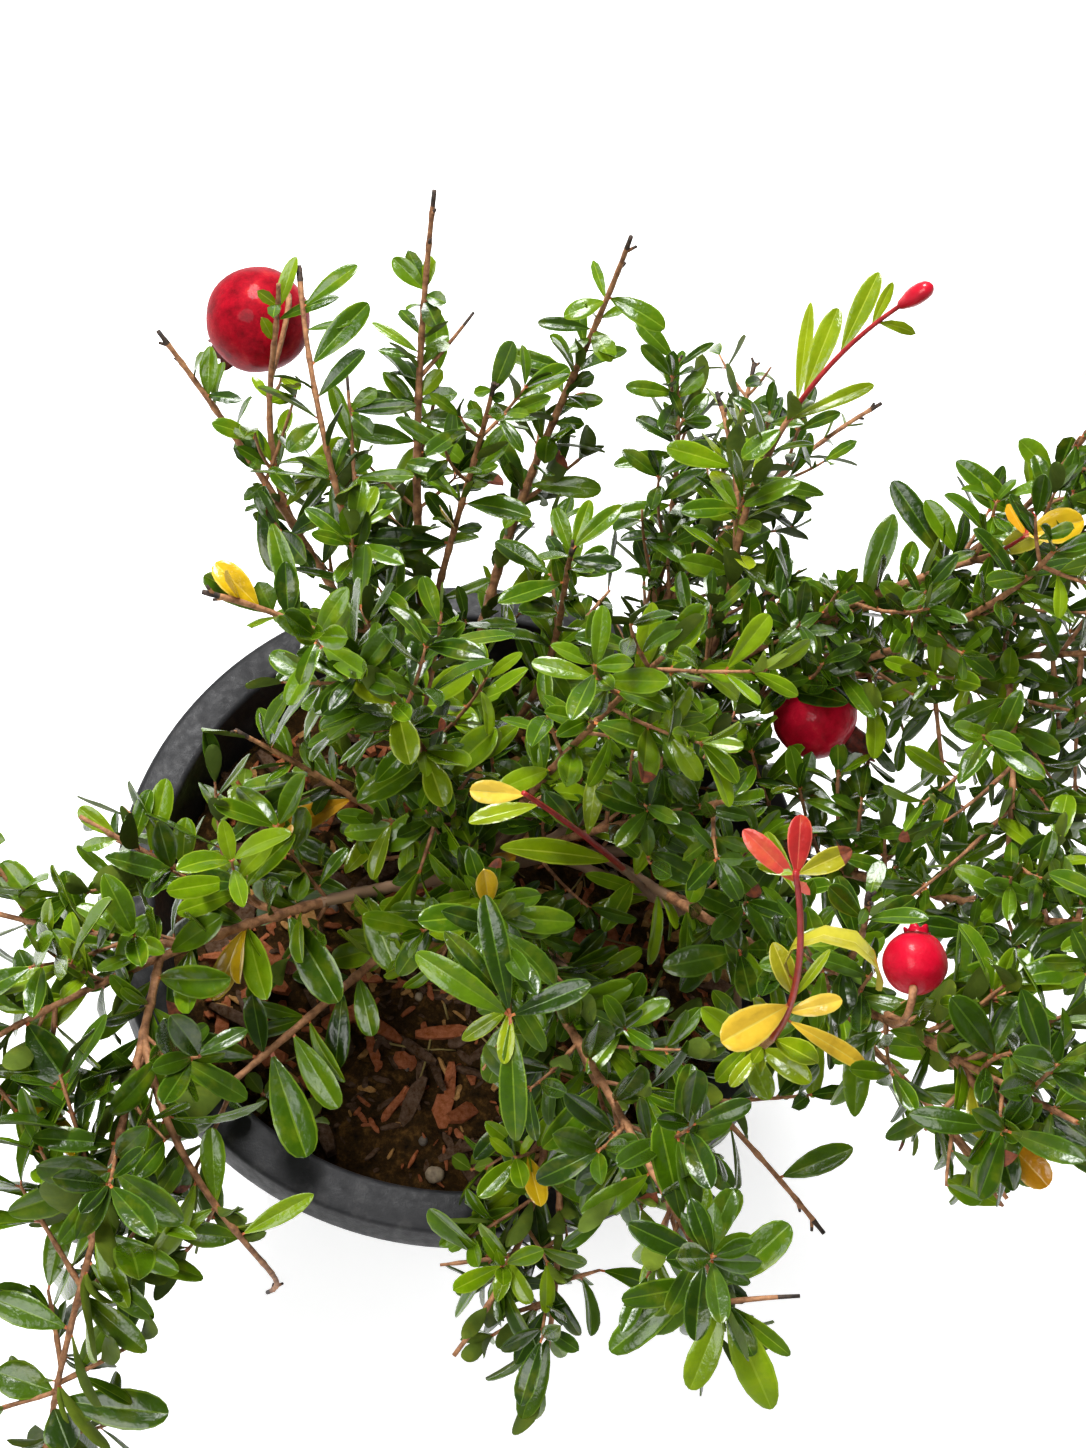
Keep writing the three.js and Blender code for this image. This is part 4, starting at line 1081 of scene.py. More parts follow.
def is_open(points):
    """Which of these points show where the photograph has no leaf in front."""
    across, down = to_photo(points)[0].T[:, :, None]
    (x1, y1), (x2, y2) = EDGE_STARTS.T, EDGE_ENDS.T
    crosses = (y1 > down) != (y2 > down)
    slope = (x2 - x1) / np.where(y1 == y2, 1, y2 - y1)
    passed = crosses & (across < x1 + (down - y1) * slope)
    return np.logical_xor.reduceat(passed, FIRST_EDGES, axis=1).any(axis=1)


# ---------- growing twigs and leaves ----------

# A leaf is a row of numbers: nine for its root, its direction and its face's direction, and then its
# length, width, curl, fold, twist, bluntness, ripple, tint and whether its tip has withered. These
# are the places of some of them in the row.
LENGTH, CURL, TINT, WITHERED_TIP = 9, 11, 16, 17


class Plant:
    """All the twigs and leaves, grown branch by branch."""

    def __init__(self):
        self.leaves = []
        self.tones = []
        self.twigs = []  # each with the share where it starts and its dead tip's length

    def keep(self, tone, root, direction, facing, length, width, looks):
        self.leaves.append([*root, *direction, *facing, length, width, *looks])
        self.tones.append(tone)

    def leaf(self, dice, limb, share, side, lean, size, tone):
        along = limb.along(share)
        lean += dice.way(RULE["leaf_lean_spread"])
        direction = unit(leaning(along, side, lean))
        facing = leaning(along, side, lean - 90) + UP * LEAF["to_light"]
        facing = facing - direction * (facing @ direction)
        length = LEAF["length"] * size * dice.roll(*LEAF["size"])
        width = length * LEAF["width"] * dice.roll(*LEAF["slimness"])
        roll = dice.roll(-1, 1) * LEAF["roll"]
        looks = self.looks(dice, dice.roll(*LEAF["curl"]))
        if np.linalg.norm(facing) < SMALL:
            return
        facing = turned_about(unit(facing), direction, roll)
        root = limb.point(share) + direction * limb.radius(share) * 0.5
        checks = root + direction * length * np.array([[0.35], [0.7], [1.0]])
        if clear_of_all(checks) and not is_open(checks[1:] - direction * length * 0.1).any():
            self.keep(tone, root, direction, facing, length, width, looks)

    def looks(self, dice, curl):
        fold, twist, blunt = (dice.roll(*LEAF[look]) for look in ("fold", "twist", "bluntness"))
        ripple, tint, brown = dice.roll(-1, 1), dice.roll(0, TINTS), dice.roll() < LEAF["brown_tips"]
        return [curl, fold, twist, blunt, ripple, tint, float(brown)]

    def placed(self, dice, limb, share, pixel, nearer, width, tone, curl, lift=0.0):
        """A leaf that starts on its limb and whose tip shows at a pixel of the photograph. It faces
        the camera, or the picture's top edge by `lift`."""
        share = share_near(limb, share) if isinstance(share, tuple) else share
        root = limb.point(share)
        chord = aimed(root, pixel, nearer) - root
        length = arc_length(np.linalg.norm(chord), curl)
        chord = unit(chord)
        facing = mixed(BACK + UP * 0.5, ABOVE, lift)
        facing = unit(facing - chord * (chord @ facing))
        half = math.radians(curl) / 2
        direction = chord * math.cos(half) + facing * math.sin(half)
        facing = facing * math.cos(half) - chord * math.sin(half)
        self.keep(tone, root, direction, facing, length, width, [*self.looks(dice, curl)[:-1], 0.0])

    def pair(self, dice, limb, share, angle, lean, size, tone):
        for way in (0, 180):
            self.leaf(dice, limb, share, side_of(limb.along(share), angle + way), lean, size, tone)

    def spur(self, dice, limb, share, angle, size, tone):
        """A few small leaves that stand up from the joint of a leaf."""
        for _ in range(RULE["spur_leaves"]):
            side = side_of(limb.along(share), angle + dice.roll(-1, 1) * RULE["spur_spread"])
            lean = dice.roll(*RULE["spur_lean"])
            self.leaf(dice, limb, share, side, lean, size * dice.roll(*RULE["spur_size"]), tone)

    def twig(self, dice, root, along, side, size, tone):
        length = dice.roll(*RULE["twig_length"])
        angle = dice.roll(0, 180)
        azimuth, rise = angles_of(leaning(along, side, RULE["twig_lean"]))
        turn = dice.roll(*RULE["twig_turn"])
        twig = Limb(root, azimuth, rise, length, RULE["twig_bend"], turn, RULE["twig_radii"])
        way = twig.point(np.array([0.3, 0.5, 0.7, 0.85, 1.0]))
        if clear_of_all(way) and not is_open(way[2:]).any():
            self.leafy(dice, twig, angle, size, tone)

    def leafy(self, dice, twig, angle, size, tone):
        """Leaf pairs all along a small twig, the largest at its middle."""
        self.twigs.append((twig, 0.0, 0.0))
        nodes = max(1, round(twig.length / RULE["twig_node_gap"]) - 1)
        for k in range(nodes):
            share = (k + 0.7) / (nodes + 0.3)
            here = size * (0.62 + 0.3 * math.sin(math.pi * share))
            twig.knots.append(share)
            self.pair(dice, twig, share, angle, RULE["leaf_lean"], here, tone)
            if dice.roll() < RULE["twig_spurs"]:
                self.spur(dice, twig, share, angle, size, tone)
            angle += 90 + dice.way(RULE["turn_spread"])
        self.pair(dice, twig, 0.98, angle, RULE["tip_leaf_lean"], size * 0.8, tone)
        if dice.roll() < RULE["twig_ends"]:
            self.leaf(dice, twig, 0.99, side_of(twig.along(1), angle), 4, size * 0.62, tone)

    def stem(self, dice, branch):
        """A branch's joints with their leaves and twigs, up to its bare end."""
        look = LOOKS[group_of(branch.name)]
        size = look.size
        first = branch.bare * RULE["inner_share"] + RULE["first_node"] / branch.length
        last = min(1 - branch.end, branch.red_from, branch.stop)
        nodes = max(1, round((last - first) * branch.length / look.gap))
        angle = dice.roll(0, 360)
        for k in range(nodes):
            share = first + (last - first) * k / nodes
            root, along = branch.point(share), branch.along(share)
            branch.knots.append(share)
            for way in (0, 180):
                tone = dice.pick(look.tones)
                side = side_of(along, angle + way)
                if dice.roll() < look.twigs:
                    self.twig(dice, root, along, side, size, tone)
                    continue
                self.leaf(dice, branch, share, side, RULE["leaf_lean"], size, tone)
                if dice.roll() < look.spurs:
                    self.spur(dice, branch, share, angle + way, size, tone)
            angle += 90 + dice.way(RULE["turn_spread"])
        tone = dice.pick(look.tones)
        self.pair(dice, branch, last, angle, RULE["tip_leaf_lean"], size * 0.9, tone)
        bare_tip = 0.0
        if branch.red_from > 1 and branch.end == 0:
            end = min(branch.stop, 0.995)
            self.leaf(dice, branch, end, side_of(branch.along(end), angle), 3, size * 0.8, tone)
        elif branch.red_from > 1:
            self.thin_end(dice, branch, size, angle)
            bare_tip = BARE_TIP
        self.twigs.append((branch, branch.bare, bare_tip))

    def thin_end(self, dice, branch, size, angle):
        """A branch's end: a few small leaves, and then bare wood with a stub or two."""
        start, stop = 1 - branch.end, 1 - branch.end * RULE["bare_share"]
        nodes = round((stop - start) * branch.length / RULE["sparse_gap"])
        for k in range(nodes):
            share = start + (stop - start) * (k + 1) / nodes
            branch.knots.append(share)
            angle += 90
            tone = dice.pick(THIN_END_TONES)
            small = size * dice.roll(*RULE["sparse_size"])
            self.pair(dice, branch, share, angle, RULE["leaf_lean"], small, tone)
        for at in STUB["at"]:
            share = stop + (1 - stop) * at
            branch.knots.append(share)
            root, along = branch.point(share), branch.along(share)
            direction = leaning(along, side_of(along, dice.roll(0, 360)), STUB["lean"])
            tip = root + direction * dice.roll(*STUB["length"])
            self.twigs.append((reaching(root, tip, STUB["bend"], STUB["radii"]), 0.0, STUB["dead"]))

    def grow(self):
        """The whole plant: its branches mass by mass, then the shoots and the placed leaves."""
        for index, mass in enumerate(masses):
            dice = Dice(SEED + index)
            for branch in stems:
                if mass_of(branch) == mass:
                    self.stem(dice, branch)
        dice = Dice(SEED - 1)
        for name, shoot in shoots.items():
            if name in BARE_SHOOTS:
                self.twigs.append((shoot, 0.0, BARE_TIP))
            elif name in CROWNED_SHOOTS:
                self.twigs.append((shoot, 0.0, 0.0))
            else:
                self.leafy(dice, shoot, dice.roll(0, 180), SHOOT_SIZE, dice.pick(shoot.look.tones))
        for shoot in fillings:
            size = shoot.look.size * FILLING_SIZE
            self.leafy(dice, shoot, dice.roll(0, 180), size, dice.pick(shoot.look.tones))
        limbs = {**branches, **shoots}
        for limb, leaves in PLACED_LEAVES:
            for leaf in leaves:
                self.placed(dice, limbs[limb], *leaf)

    def turn_leaves(self):
        """Gives the leaf nearest the camera at each named pixel its listed tone."""
        rows = np.array(self.leaves)
        root, direction, facing, length = rows[:, 0:3], rows[:, 3:6], rows[:, 6:9], rows[:, 9:10]
        seen, depth = to_photo(root + direction * length * 0.5)
        for tone, pixels in TURNED.items():
            for pixel in pixels:
                away = np.hypot(*(seen - pixel).T)
                close = np.where(away < TURNED_REACH)[0]
                if len(close):
                    self.tones[close[np.argmin(depth[close])]] = tone
        half = np.radians(rows[:, CURL]) / 2
        chords = (direction.T * np.cos(half) - facing.T * np.sin(half)) * np.sinc(half / math.pi)
        tips = to_photo(root + chords.T * length)[0]
        for pixel in WITHERED_TIPS:
            self.leaves[np.argmin(np.hypot(*(tips - pixel).T))][WITHERED_TIP] = 1.0


def share_near(limb, pixel):
    """The share of a limb's length that shows nearest to a pixel of the photograph."""
    shares = np.linspace(0, limb.stop, 160)
    seen = to_photo(limb.point(shares))[0]
    return shares[np.argmin(np.hypot(*(seen - pixel).T))]


plant = Plant()
plant.grow()
plant.turn_leaves()

# ---------- leaf meshes ----------

# How wide a leaf with a pointed tip and one with a blunt tip is along its length, over its widest.
OUTLINE_SHARES = [0, 0.07, 0.16, 0.3, 0.47, 0.64, 0.79, 0.9, 0.97, 1.0]
POINTED = [0.1, 0.11, 0.4, 0.74, 0.97, 1.0, 0.83, 0.55, 0.28, 0.07]
BLUNT = [0.1, 0.11, 0.32, 0.61, 0.87, 1.0, 0.97, 0.79, 0.5, 0.14]
# The lines across a blade's upper side, over its half width, and what lies between them.
FINE = {
    "shares": OUTLINE_SHARES,
    "columns": [-1, -0.88, -0.5, -0.06, 0.06, 0.5, 0.88, 1],
    "strips": ["line", "top", "top", "line", "top", "top", "line"],
}
COARSE = {
    "shares": [0, 0.1, 0.32, 0.62, 0.87, 1],
    "columns": [-1, -0.08, 0.08, 1],
    "strips": ["top", "line", "top"],
}
GRIDS = (FINE, COARSE)
FINE_FROM = 14.5
RIB_DEPTH = 0.05
RIB_HALF = 0.1  # of the half width
DOME = 0.11
RIPPLE = 0.07
RIPPLES = 9  # radians along a leaf
BROWN_FROM = 0.78
LEAF_EDGE = 62
LINE, UNDER, STALK, WITHERED = TINTS, TINTS + 1, TINTS + 2, TINTS + 3
KINDS = {"top": 0, "line": LINE}


def blade_points(data, grid):
    """The corners of many leaves: a grid over each blade and a line under its middle."""
    root, direction, facing = data[:, 0:3], data[:, 3:6], data[:, 6:9]
    length, width, curl, fold, twist, blunt, ripple = data[:, LENGTH:TINT].T
    shares = np.array(grid["shares"])[None, :]
    pointed, round_ended = (np.interp(shares, OUTLINE_SHARES, outline) for outline in (POINTED, BLUNT))
    half = (pointed + (round_ended - pointed) * blunt[:, None]) * width[:, None] / 2
    bend = np.radians(curl)[:, None] * shares
    step = np.diff(shares[0], prepend=0)[None, :]
    forward = (np.cumsum(np.cos(bend) * step, axis=1) * length[:, None])[..., None]
    down = (np.cumsum(np.sin(bend) * step, axis=1) * length[:, None])[..., None]
    middle = root[:, None] + direction[:, None] * forward - facing[:, None] * down
    normal = direction[:, None] * np.sin(bend)[..., None] + facing[:, None] * np.cos(bend)[..., None]
    turn = (np.radians(twist)[:, None] * shares)[..., None]
    side = np.cross(direction, facing)
    across = side[:, None] * np.cos(turn) + normal * np.sin(turn)
    normal = normal * np.cos(turn) - side[:, None] * np.sin(turn)
    u = np.array(grid["columns"])[None, None, :]
    wave = np.sin(shares * RIPPLES + ripple[:, None] * 5)[..., None] * RIPPLE * u
    rise = np.abs(u) * fold[:, None, None] + DOME * np.sin(math.pi * np.abs(u)) + wave
    rise = (rise - RIB_DEPTH * (np.abs(u) < RIB_HALF)) * half[..., None]
    top = middle[:, :, None] + across[:, :, None] * (u * half[..., None])[..., None]
    top = top + normal[:, :, None] * rise[..., None]
    under = middle - normal * (LEAF["thickness"] + RIB_DEPTH * half[..., None])
    return np.concatenate([top, under[:, :, None]], axis=2)


def blade_faces(grid):
    """The quads of one leaf and the kind of each, row by row from its stalk."""
    quads, kinds = [], []
    columns = len(grid["columns"]) + 1
    last, under = columns - 2, columns - 1
    for row in range(len(grid["shares"]) - 1):
        here, there = row * columns, (row + 1) * columns
        for column, strip in enumerate(grid["strips"]):
            quads.append([here + column, here + column + 1, there + column + 1, there + column])
            kinds.append(STALK if row == 0 else KINDS[strip])
        quads.append([here, there, there + under, here + under])
        quads.append([here + under, there + under, there + last, here + last])
        kinds += [STALK if row == 0 else UNDER] * 2
    return np.array(quads), np.array(kinds)


def blade_triangles(grid):
    columns = len(grid["columns"]) + 1
    return 2 * (len(grid["shares"]) - 1) * columns + 2 * (columns - 2)


def add_leaves(shell, rows, grid):
    data = np.array(rows, float)
    tint, brown = data[:, TINT].astype(int), data[:, WITHERED_TIP] > 0
    columns, rows_count = len(grid["columns"]) + 1, len(grid["shares"])
    quads, kinds = blade_faces(grid)
    starts = np.arange(len(data))[:, None, None] * rows_count * columns
    kinds = np.repeat(kinds[None], len(data), axis=0)
    tops = kinds == 0
    kinds[tops] = np.repeat(tint[:, None], kinds.shape[1], axis=1)[tops]
    share_of_face = np.repeat(grid["shares"][:-1], columns)
    kinds[brown[:, None] & (share_of_face > BROWN_FROM)[None]] = WITHERED
    offset = shell.count
    shell.add(blade_points(data, grid).reshape(-1, 3), (quads[None] + starts).reshape(-1, 4), kinds.ravel())
    ring = np.arange(columns)
    caps = np.array([ring[[0, *range(columns - 1, 0, -1)]], ring + (rows_count - 1) * columns])
    shell.more((caps[None] + starts).reshape(-1, columns), np.tile([STALK, LINE], len(data)), offset)


MOST_TRIANGLES = 190000  # in one piece


def make_leaves():
    """Pieces of leaves, tone by tone. Small leaves are of fewer faces."""
    pieces = []
    for tone in TONES:
        parts, room = [], 0
        for row, its_tone in zip(plant.leaves, plant.tones):
            if its_tone != tone:
                continue
            grid = int(row[LENGTH] <= FINE_FROM)
            triangles = blade_triangles(GRIDS[grid])
            if room < triangles:
                parts.append(([], []))
                room = MOST_TRIANGLES
            parts[-1][grid].append(row)
            room -= triangles
        materials = leaf_materials(tone)
        slot = "young_foliage" if tone in YOUNG_TONES else "foliage"
        for number, part in enumerate(parts):
            shell = Shell()
            for rows, grid in zip(part, GRIDS):
                if rows:
                    add_leaves(shell, rows, grid)
            name = f"leaves_{tone}" if len(parts) == 1 else f"leaves_{tone}_{number + 1}"
            pieces.append(shell.piece(name, materials, slot, LEAF_EDGE))
    return pieces


# ---------- bark ----------

TWIG_RING_GAP = 2.6
BOUGH_RING_GAP = 1.6
BOUGH_SWELL = 1.03  # a bough's bark hides its limb
BOUGH_OVERLAP = 1.5  # into the twigs' first stretch
KNOT_WIDTH = 1.3
KNOT_SWELL = 0.3
STALK_RADII = (0.8, 1.2)
TRUNK_LOBES = {"height": 12, "depth": 0.22, "count": 5, "turn": 0.6}


def knotted_radii(limb, shares):
    """A limb's radii with a swelling at each joint that bears leaves."""
    radii = limb.radius(shares)
    for knot in limb.knots:
        away = (shares - knot) * limb.length / KNOT_WIDTH
        radii = radii * (1 + KNOT_SWELL * np.exp(-(away**2)))
    return radii


def make_twigs():
    """Every leafy stem and twig. The last `dead` millimetres of a bare one are dark."""
    shell = Shell()
    for limb, start, dead in plant.twigs:
        rings = max(4, round((limb.stop - start) * limb.length / TWIG_RING_GAP))
        shares = np.linspace(start, limb.stop, rings)
        sides = 8 if limb.radii[0] > 1 else 6
        kinds = np.where(shares[:-1] > limb.red_from, 1, 0)
        kinds = np.where(shares[1:] > 1 - dead / limb.length, 2, kinds) if dead else kinds
        tube(shell, limb.point(shares), knotted_radii(limb, shares), sides, kinds)
    for fruit in fruits:
        line = stalk_line(fruit)
        tube(shell, line, np.linspace(*STALK_RADII, len(line)), 8)
    return shell.piece("twigs", [BARK, RED_BARK, DARK_BARK], "bark")


def curve(start, lead, end, t):
    """Points on a smooth curve that leaves its start towards `lead` and comes to its end from it."""
    return (1 - t) ** 2 * start + 2 * t * (1 - t) * lead + t**2 * end


def stalk_line(fruit):
    """A fruit's stalk, from its branch to the pole across from its crown."""
    end = fruit.centre - fruit.axis * fruit.radius * 0.86
    lead = end - fruit.axis * np.linalg.norm(end - fruit.foot) * 0.4
    return curve(fruit.foot, lead, end, np.linspace(0, 1, 12)[:, None])


def bough_relief(points):
    return 0.09 * bumps(points, 5, 3) + 0.05 * bumps(points, 2, 4)


def trunk_relief(points):
    """Lobes that fade out above the root flare, and long ridges of bark."""
    flare = np.clip(1 - (points[:, 2] - SOIL["top"]) / TRUNK_LOBES["height"], 0, 1)
    round_trunk = np.arctan2(points[:, 1], points[:, 0])
    lobes = TRUNK_LOBES["depth"] * np.cos(TRUNK_LOBES["count"] * round_trunk + TRUNK_LOBES["turn"])
    ridges = 0.06 * bumps(points * [1, 1, 0.3], 3, 5) + 0.03 * bumps(points, 1.5, 6)
    return flare * lobes + ridges


def make_boughs():
    shell = Shell()
    for branch in stems:
        if branch.bare == 0:
            continue
        rings = max(6, round(branch.bare * branch.length / BOUGH_RING_GAP))
        shares = np.linspace(0, branch.bare + BOUGH_OVERLAP / branch.length, rings)
        tube(shell, branch.point(shares), branch.radius(shares) * BOUGH_SWELL, 14, relief=bough_relief)
    return shell.piece("boughs_bark", [OLD_BARK], "bark")


def make_trunk():
    """The short trunk, with its root flare drawn out into lobes and ridged bark."""
    shell = Shell()
    shares = np.linspace(0, 1, 30)
    radii = np.interp(shares, *np.array(TRUNK_OUTLINE).T)
    tube(shell, trunk.point(shares), radii, 40, relief=trunk_relief)
    return shell.piece("trunk_bark", [OLD_BARK], "bark")


# ---------- pot and soil ----------


def cavity_radius(height):
    under_band = POT["height"] - POT["band_height"]
    slope = (POT["wall_top_radius"] - POT["base_radius"]) / under_band
    return POT["base_radius"] - POT["wall"] + slope * height


SOIL_EDGE = cavity_radius(SOIL["edge_top"])


def rounded(corners, radius, steps=5):
    """A profile whose inner corners are rounded off: each is a (radius, height) point."""
    made = [corners[0]]
    for before, corner, after in zip(corners, corners[1:], corners[2:]):
        before, corner, after = (np.array(point, float) for point in (before, corner, after))
        reach_in = min(radius, np.linalg.norm(before - corner) * 0.45)
        reach_out = min(radius, np.linalg.norm(after - corner) * 0.45)
        start = corner + unit(before - corner) * reach_in
        end = corner + unit(after - corner) * reach_out
        made += [tuple(curve(start, corner, end, t)) for t in np.linspace(0, 1, steps)]
    return made + [corners[-1]]


def make_pot():
    """The pot, as its profile from the axis and back to it, turned round +Z."""
    height, band_foot = POT["height"], POT["height"] - POT["band_height"]
    lip, inner, band = POT["lip_radius"], POT["lip_inner_radius"], POT["band_radius"]
    corners = [
        (0, 0),
        (POT["base_radius"], 0),
        (POT["wall_top_radius"], band_foot),
        (band - 0.6, band_foot),
        (band, height - POT["band_drop"]),
        (lip + 0.4, height - 0.4),
        (lip - 6, height),
        (inner, height - 0.6),
        (cavity_radius(band_foot), band_foot),
        (cavity_radius(POT["floor"]), POT["floor"]),
        (0, POT["floor"]),
    ]
    foot, *profile, floor = rounded(corners, POT["round"])
    radius, level = np.array(profile, float).T[:, :, None]
    rings = ring_points(radius, level, angles_round(POT["sides"])).reshape(-1, 3)
    shell = Shell()
    shell.add_ball(np.concatenate([rings, [[0, 0, foot[1]], [0, 0, floor[1]]]]), POT["sides"])
    finish = Finish("pot_plastic", 0.5, 0.22)
    stops = [(0.3, (27, 27, 29)), (0.55, (36, 36, 38)), (0.75, (59, 58, 58))]
    finish.tints(stops, 9, detail=5, roughness=0.65)
    finish.rough(finish.noise(3, detail=4), 0.42, 0.62)
    return shell.piece("pot_shell", [finish.bump(0.1, 0.7)], "pot", 50)


def soil_height(x, y):
    """The height of the soil's rough surface at places given in arrays."""
    out = np.hypot(x, y)
    slope = SOIL["top"] - (SOIL["top"] - SOIL["edge_top"]) * (out / SOIL_EDGE) ** 2
    flat = np.stack([x, y, 0 * x], axis=-1).reshape(-1, 3)
    rough = 1.4 * bumps(flat, 22, 11) + 0.9 * bumps(flat, 8, 12) + 0.5 * bumps(flat, 3.4, 13)
    return slope - SOIL["sunk"] + rough.reshape(np.shape(x)) * np.clip(out / 12, 0.2, 1)


def make_soil():
    """The soil, from its foot up its side and over its rough top to the middle."""
    out = np.linspace(1, 0, SOIL["rings"])[:, None] ** 0.75 * (SOIL_EDGE - SOIL["side_gap"])
    out = np.maximum(out + 0 * np.arange(SOIL["around"]), 0.5)
    angle = angles_round(SOIL["around"])[None, :]
    top = ring_points(out, soil_height(out * np.cos(angle), out * np.sin(angle)), angle)
    foot = ring_points(cavity_radius(SOIL["foot"]) - SOIL["side_gap"], SOIL["foot"], angle)
    shell = Shell()
    shell.add_tube(np.concatenate([foot, top]).reshape(-1, 3), SOIL["around"])
    finish = Finish("soil_crumb", 0.92, 0.12)
    stops = [(0.3, (20, 13, 4)), (0.52, (58, 39, 14)), (0.75, (116, 82, 38))]
    finish.tints(stops, 4, detail=6, roughness=0.7)
    return shell.piece("soil_surface", [finish.bump(1.6, 1.6, detail=6, roughness=0.7)], "soil")


# ---------- what lies on the soil ----------

CHIPS = {
    "count": 1150,
    "small_share": 0.84,
    "small": (1.3, 4.2),
    "large": (5, 11),
    # over its size
    "length": (1.3, 2.8),
    "width": (0.4, 0.85),
    "thickness": (0.2, 0.4),
    "tilt": (-38, 38),
    "taper": 0.55,
    "arch": 0.5,
    "ragged": (0.75, 1.1),
    "shift": (-0.1, 0.1),
    "from_edge": 7,
    "rings": (-1, -0.5, 0.1, 0.6, 1),
    "section": ((-1, -0.5), (1, -0.5), (1, 0.4), (0.2, 0.65), (-1, 0.5)),
    "chances": {0: 0.36, 1: 0.44, 2: 0.2},
}
CHIP_COLOURS = {"red": (158, 84, 38), "dark": (76, 48, 18), "tan": (172, 124, 62)}
STONES = {
    "count": 44,
    "size": (0.9, 3.2),
    "width": (0.8, 1.3),
    "height": (0.6, 0.9),
    "lumps": 0.1,
    "grey_share": 0.35,
    "from_edge": 5,
}
STRAWS = {
    "count": 34,
    "length": (14, 42),
    "rise": (8, 24),
    "bend": -50,
    "turn": (-60, 60),
    "radii": (0.5, 0.25),
    "from_edge": 22,
    "edge": 4,
}
SEEDLING = {
    "stem": (4, 8),
    "rise": 80,
    "radii": (0.5, 0.4),
    "leaves": 4,
    "leaf": (6, 10),
    "leaf_rise": (0, 30),
    "leaf_width": 0.68,
    "curl": (-10, 30),
    "joint": 0.12,
}
GOLDEN_ANGLE = 137
ON_SOIL = 0.3  # how far thin things lie above it


def height_at(x, y):
    return float(soil_height(np.array([x]), np.array([y]))[0])


def soil_spot(dice, from_edge):
    """A place on the soil, even all over it and clear of the trunk and the edge."""
    out = (SOIL_EDGE - from_edge) * math.sqrt(dice.roll(0.035, 1))
    angle = dice.roll(0, 2 * math.pi)
    x, y = out * math.cos(angle), out * math.sin(angle)
    return np.array([x, y, height_at(x, y)])


def make_chips():
    """Chips of bark: bent slabs with ragged ends, lying every way."""
    dice = Dice(41)
    shell = Shell()
    for _ in range(CHIPS["count"]):
        small = dice.roll() < CHIPS["small_share"]
        size = dice.roll(*CHIPS["small" if small else "large"])
        length, width = size * dice.roll(*CHIPS["length"]), size * dice.roll(*CHIPS["width"])
        thick = size * dice.roll(*CHIPS["thickness"])
        forward = heading(dice.roll(0, 360), dice.roll(*CHIPS["tilt"]))
        side = unit(np.cross(UP, forward))
        above = np.cross(forward, side)
        centre = soil_spot(dice, CHIPS["from_edge"]) + UP * thick * 0.35
        rows = []
        for share in CHIPS["rings"]:
            half = width * (1 - CHIPS["taper"] * abs(share) ** 3) * dice.roll(*CHIPS["ragged"]) / 2
            arch = above * (1 - share**2) * thick * CHIPS["arch"]
            middle = centre + forward * share * length / 2 + arch
            middle = middle + side * dice.roll(*CHIPS["shift"]) * width
            rows += [middle + side * u * half + above * v * thick for u, v in CHIPS["section"]]
        shell.add_tube(np.array(rows), len(CHIPS["section"]), dice.pick(CHIPS["chances"]))
    materials = []
    for name, colour in CHIP_COLOURS.items():
        colour = linear(*colour)
        stops = [(0.3, mixed(colour, (0, 0, 0), 0.45)), (0.7, mixed(colour, (1, 1, 1), 0.04))]
        finish = Finish(f"chip_{name}", 0.9, 0.07).colour(stops, 1.8, detail=4, roughness=0.65)
        materials.append(finish.bump(0.5, 0.8, detail=4))
    return shell.piece("bark_chips", materials, "soil", 40)


def make_stones():
    """Closed lumpy balls of three radii."""
    dice = Dice(52)
    shell = Shell()
    theta, phi = ball_angles(8, 12)
    rings = ring_points(np.sin(theta), -np.cos(theta), phi).reshape(-1, 3)
    ball = np.concatenate([rings, [-UP, UP]])
    for seed in range(STONES["count"]):
        size = dice.roll(*STONES["size"])
        radii = size * np.array([dice.roll(*STONES[axis]) for axis in ("width", "width", "height")])
        centre = soil_spot(dice, STONES["from_edge"]) + UP * size * 0.3
        lumpy = ball * (1 + STONES["lumps"] * bumps(ball, 1.6, seed)[:, None])
        shell.add_ball(centre + lumpy * radii, phi.size, int(dice.roll() < STONES["grey_share"]))
    pale = Finish("stone_pale", 0.7).tints([(0.3, (112, 96, 76)), (0.7, (160, 142, 114))], 2)
    grey = Finish("stone_grey", 0.75).tints([(0.3, (60, 52, 44)), (0.7, (98, 86, 72))], 2)
    return shell.piece("stones", [pale.material, grey.material], "soil")


def make_straws():
    """Dry stalks and fine dead roots that lie over the soil."""
    dice = Dice(63)
    shell = Shell()
    shares = np.linspace(0, 1, 12)
    for _ in range(STRAWS["count"]):
        start = soil_spot(dice, STRAWS["from_edge"]) + UP * 0.4
        azimuth, length = dice.roll(0, 360), dice.roll(*STRAWS["length"])
        rise, turn = dice.roll(*STRAWS["rise"]), dice.roll(*STRAWS["turn"])
        limb = Limb(start, azimuth, rise, length, STRAWS["bend"], turn, STRAWS["radii"])
        line = limb.point(shares)
        if np.hypot(line[:, 0], line[:, 1]).max() > SOIL_EDGE - STRAWS["edge"]:
            continue
        line[:, 2] = np.maximum(line[:, 2], soil_height(line[:, 0], line[:, 1]) + ON_SOIL)
        tube(shell, line, limb.radius(shares), 5)
    finish = Finish("straw", 0.7, 0.3).tints([(0.3, (104, 88, 44)), (0.7, (152, 134, 78))], 6)
    return shell.piece("straws", [finish.material], "soil")


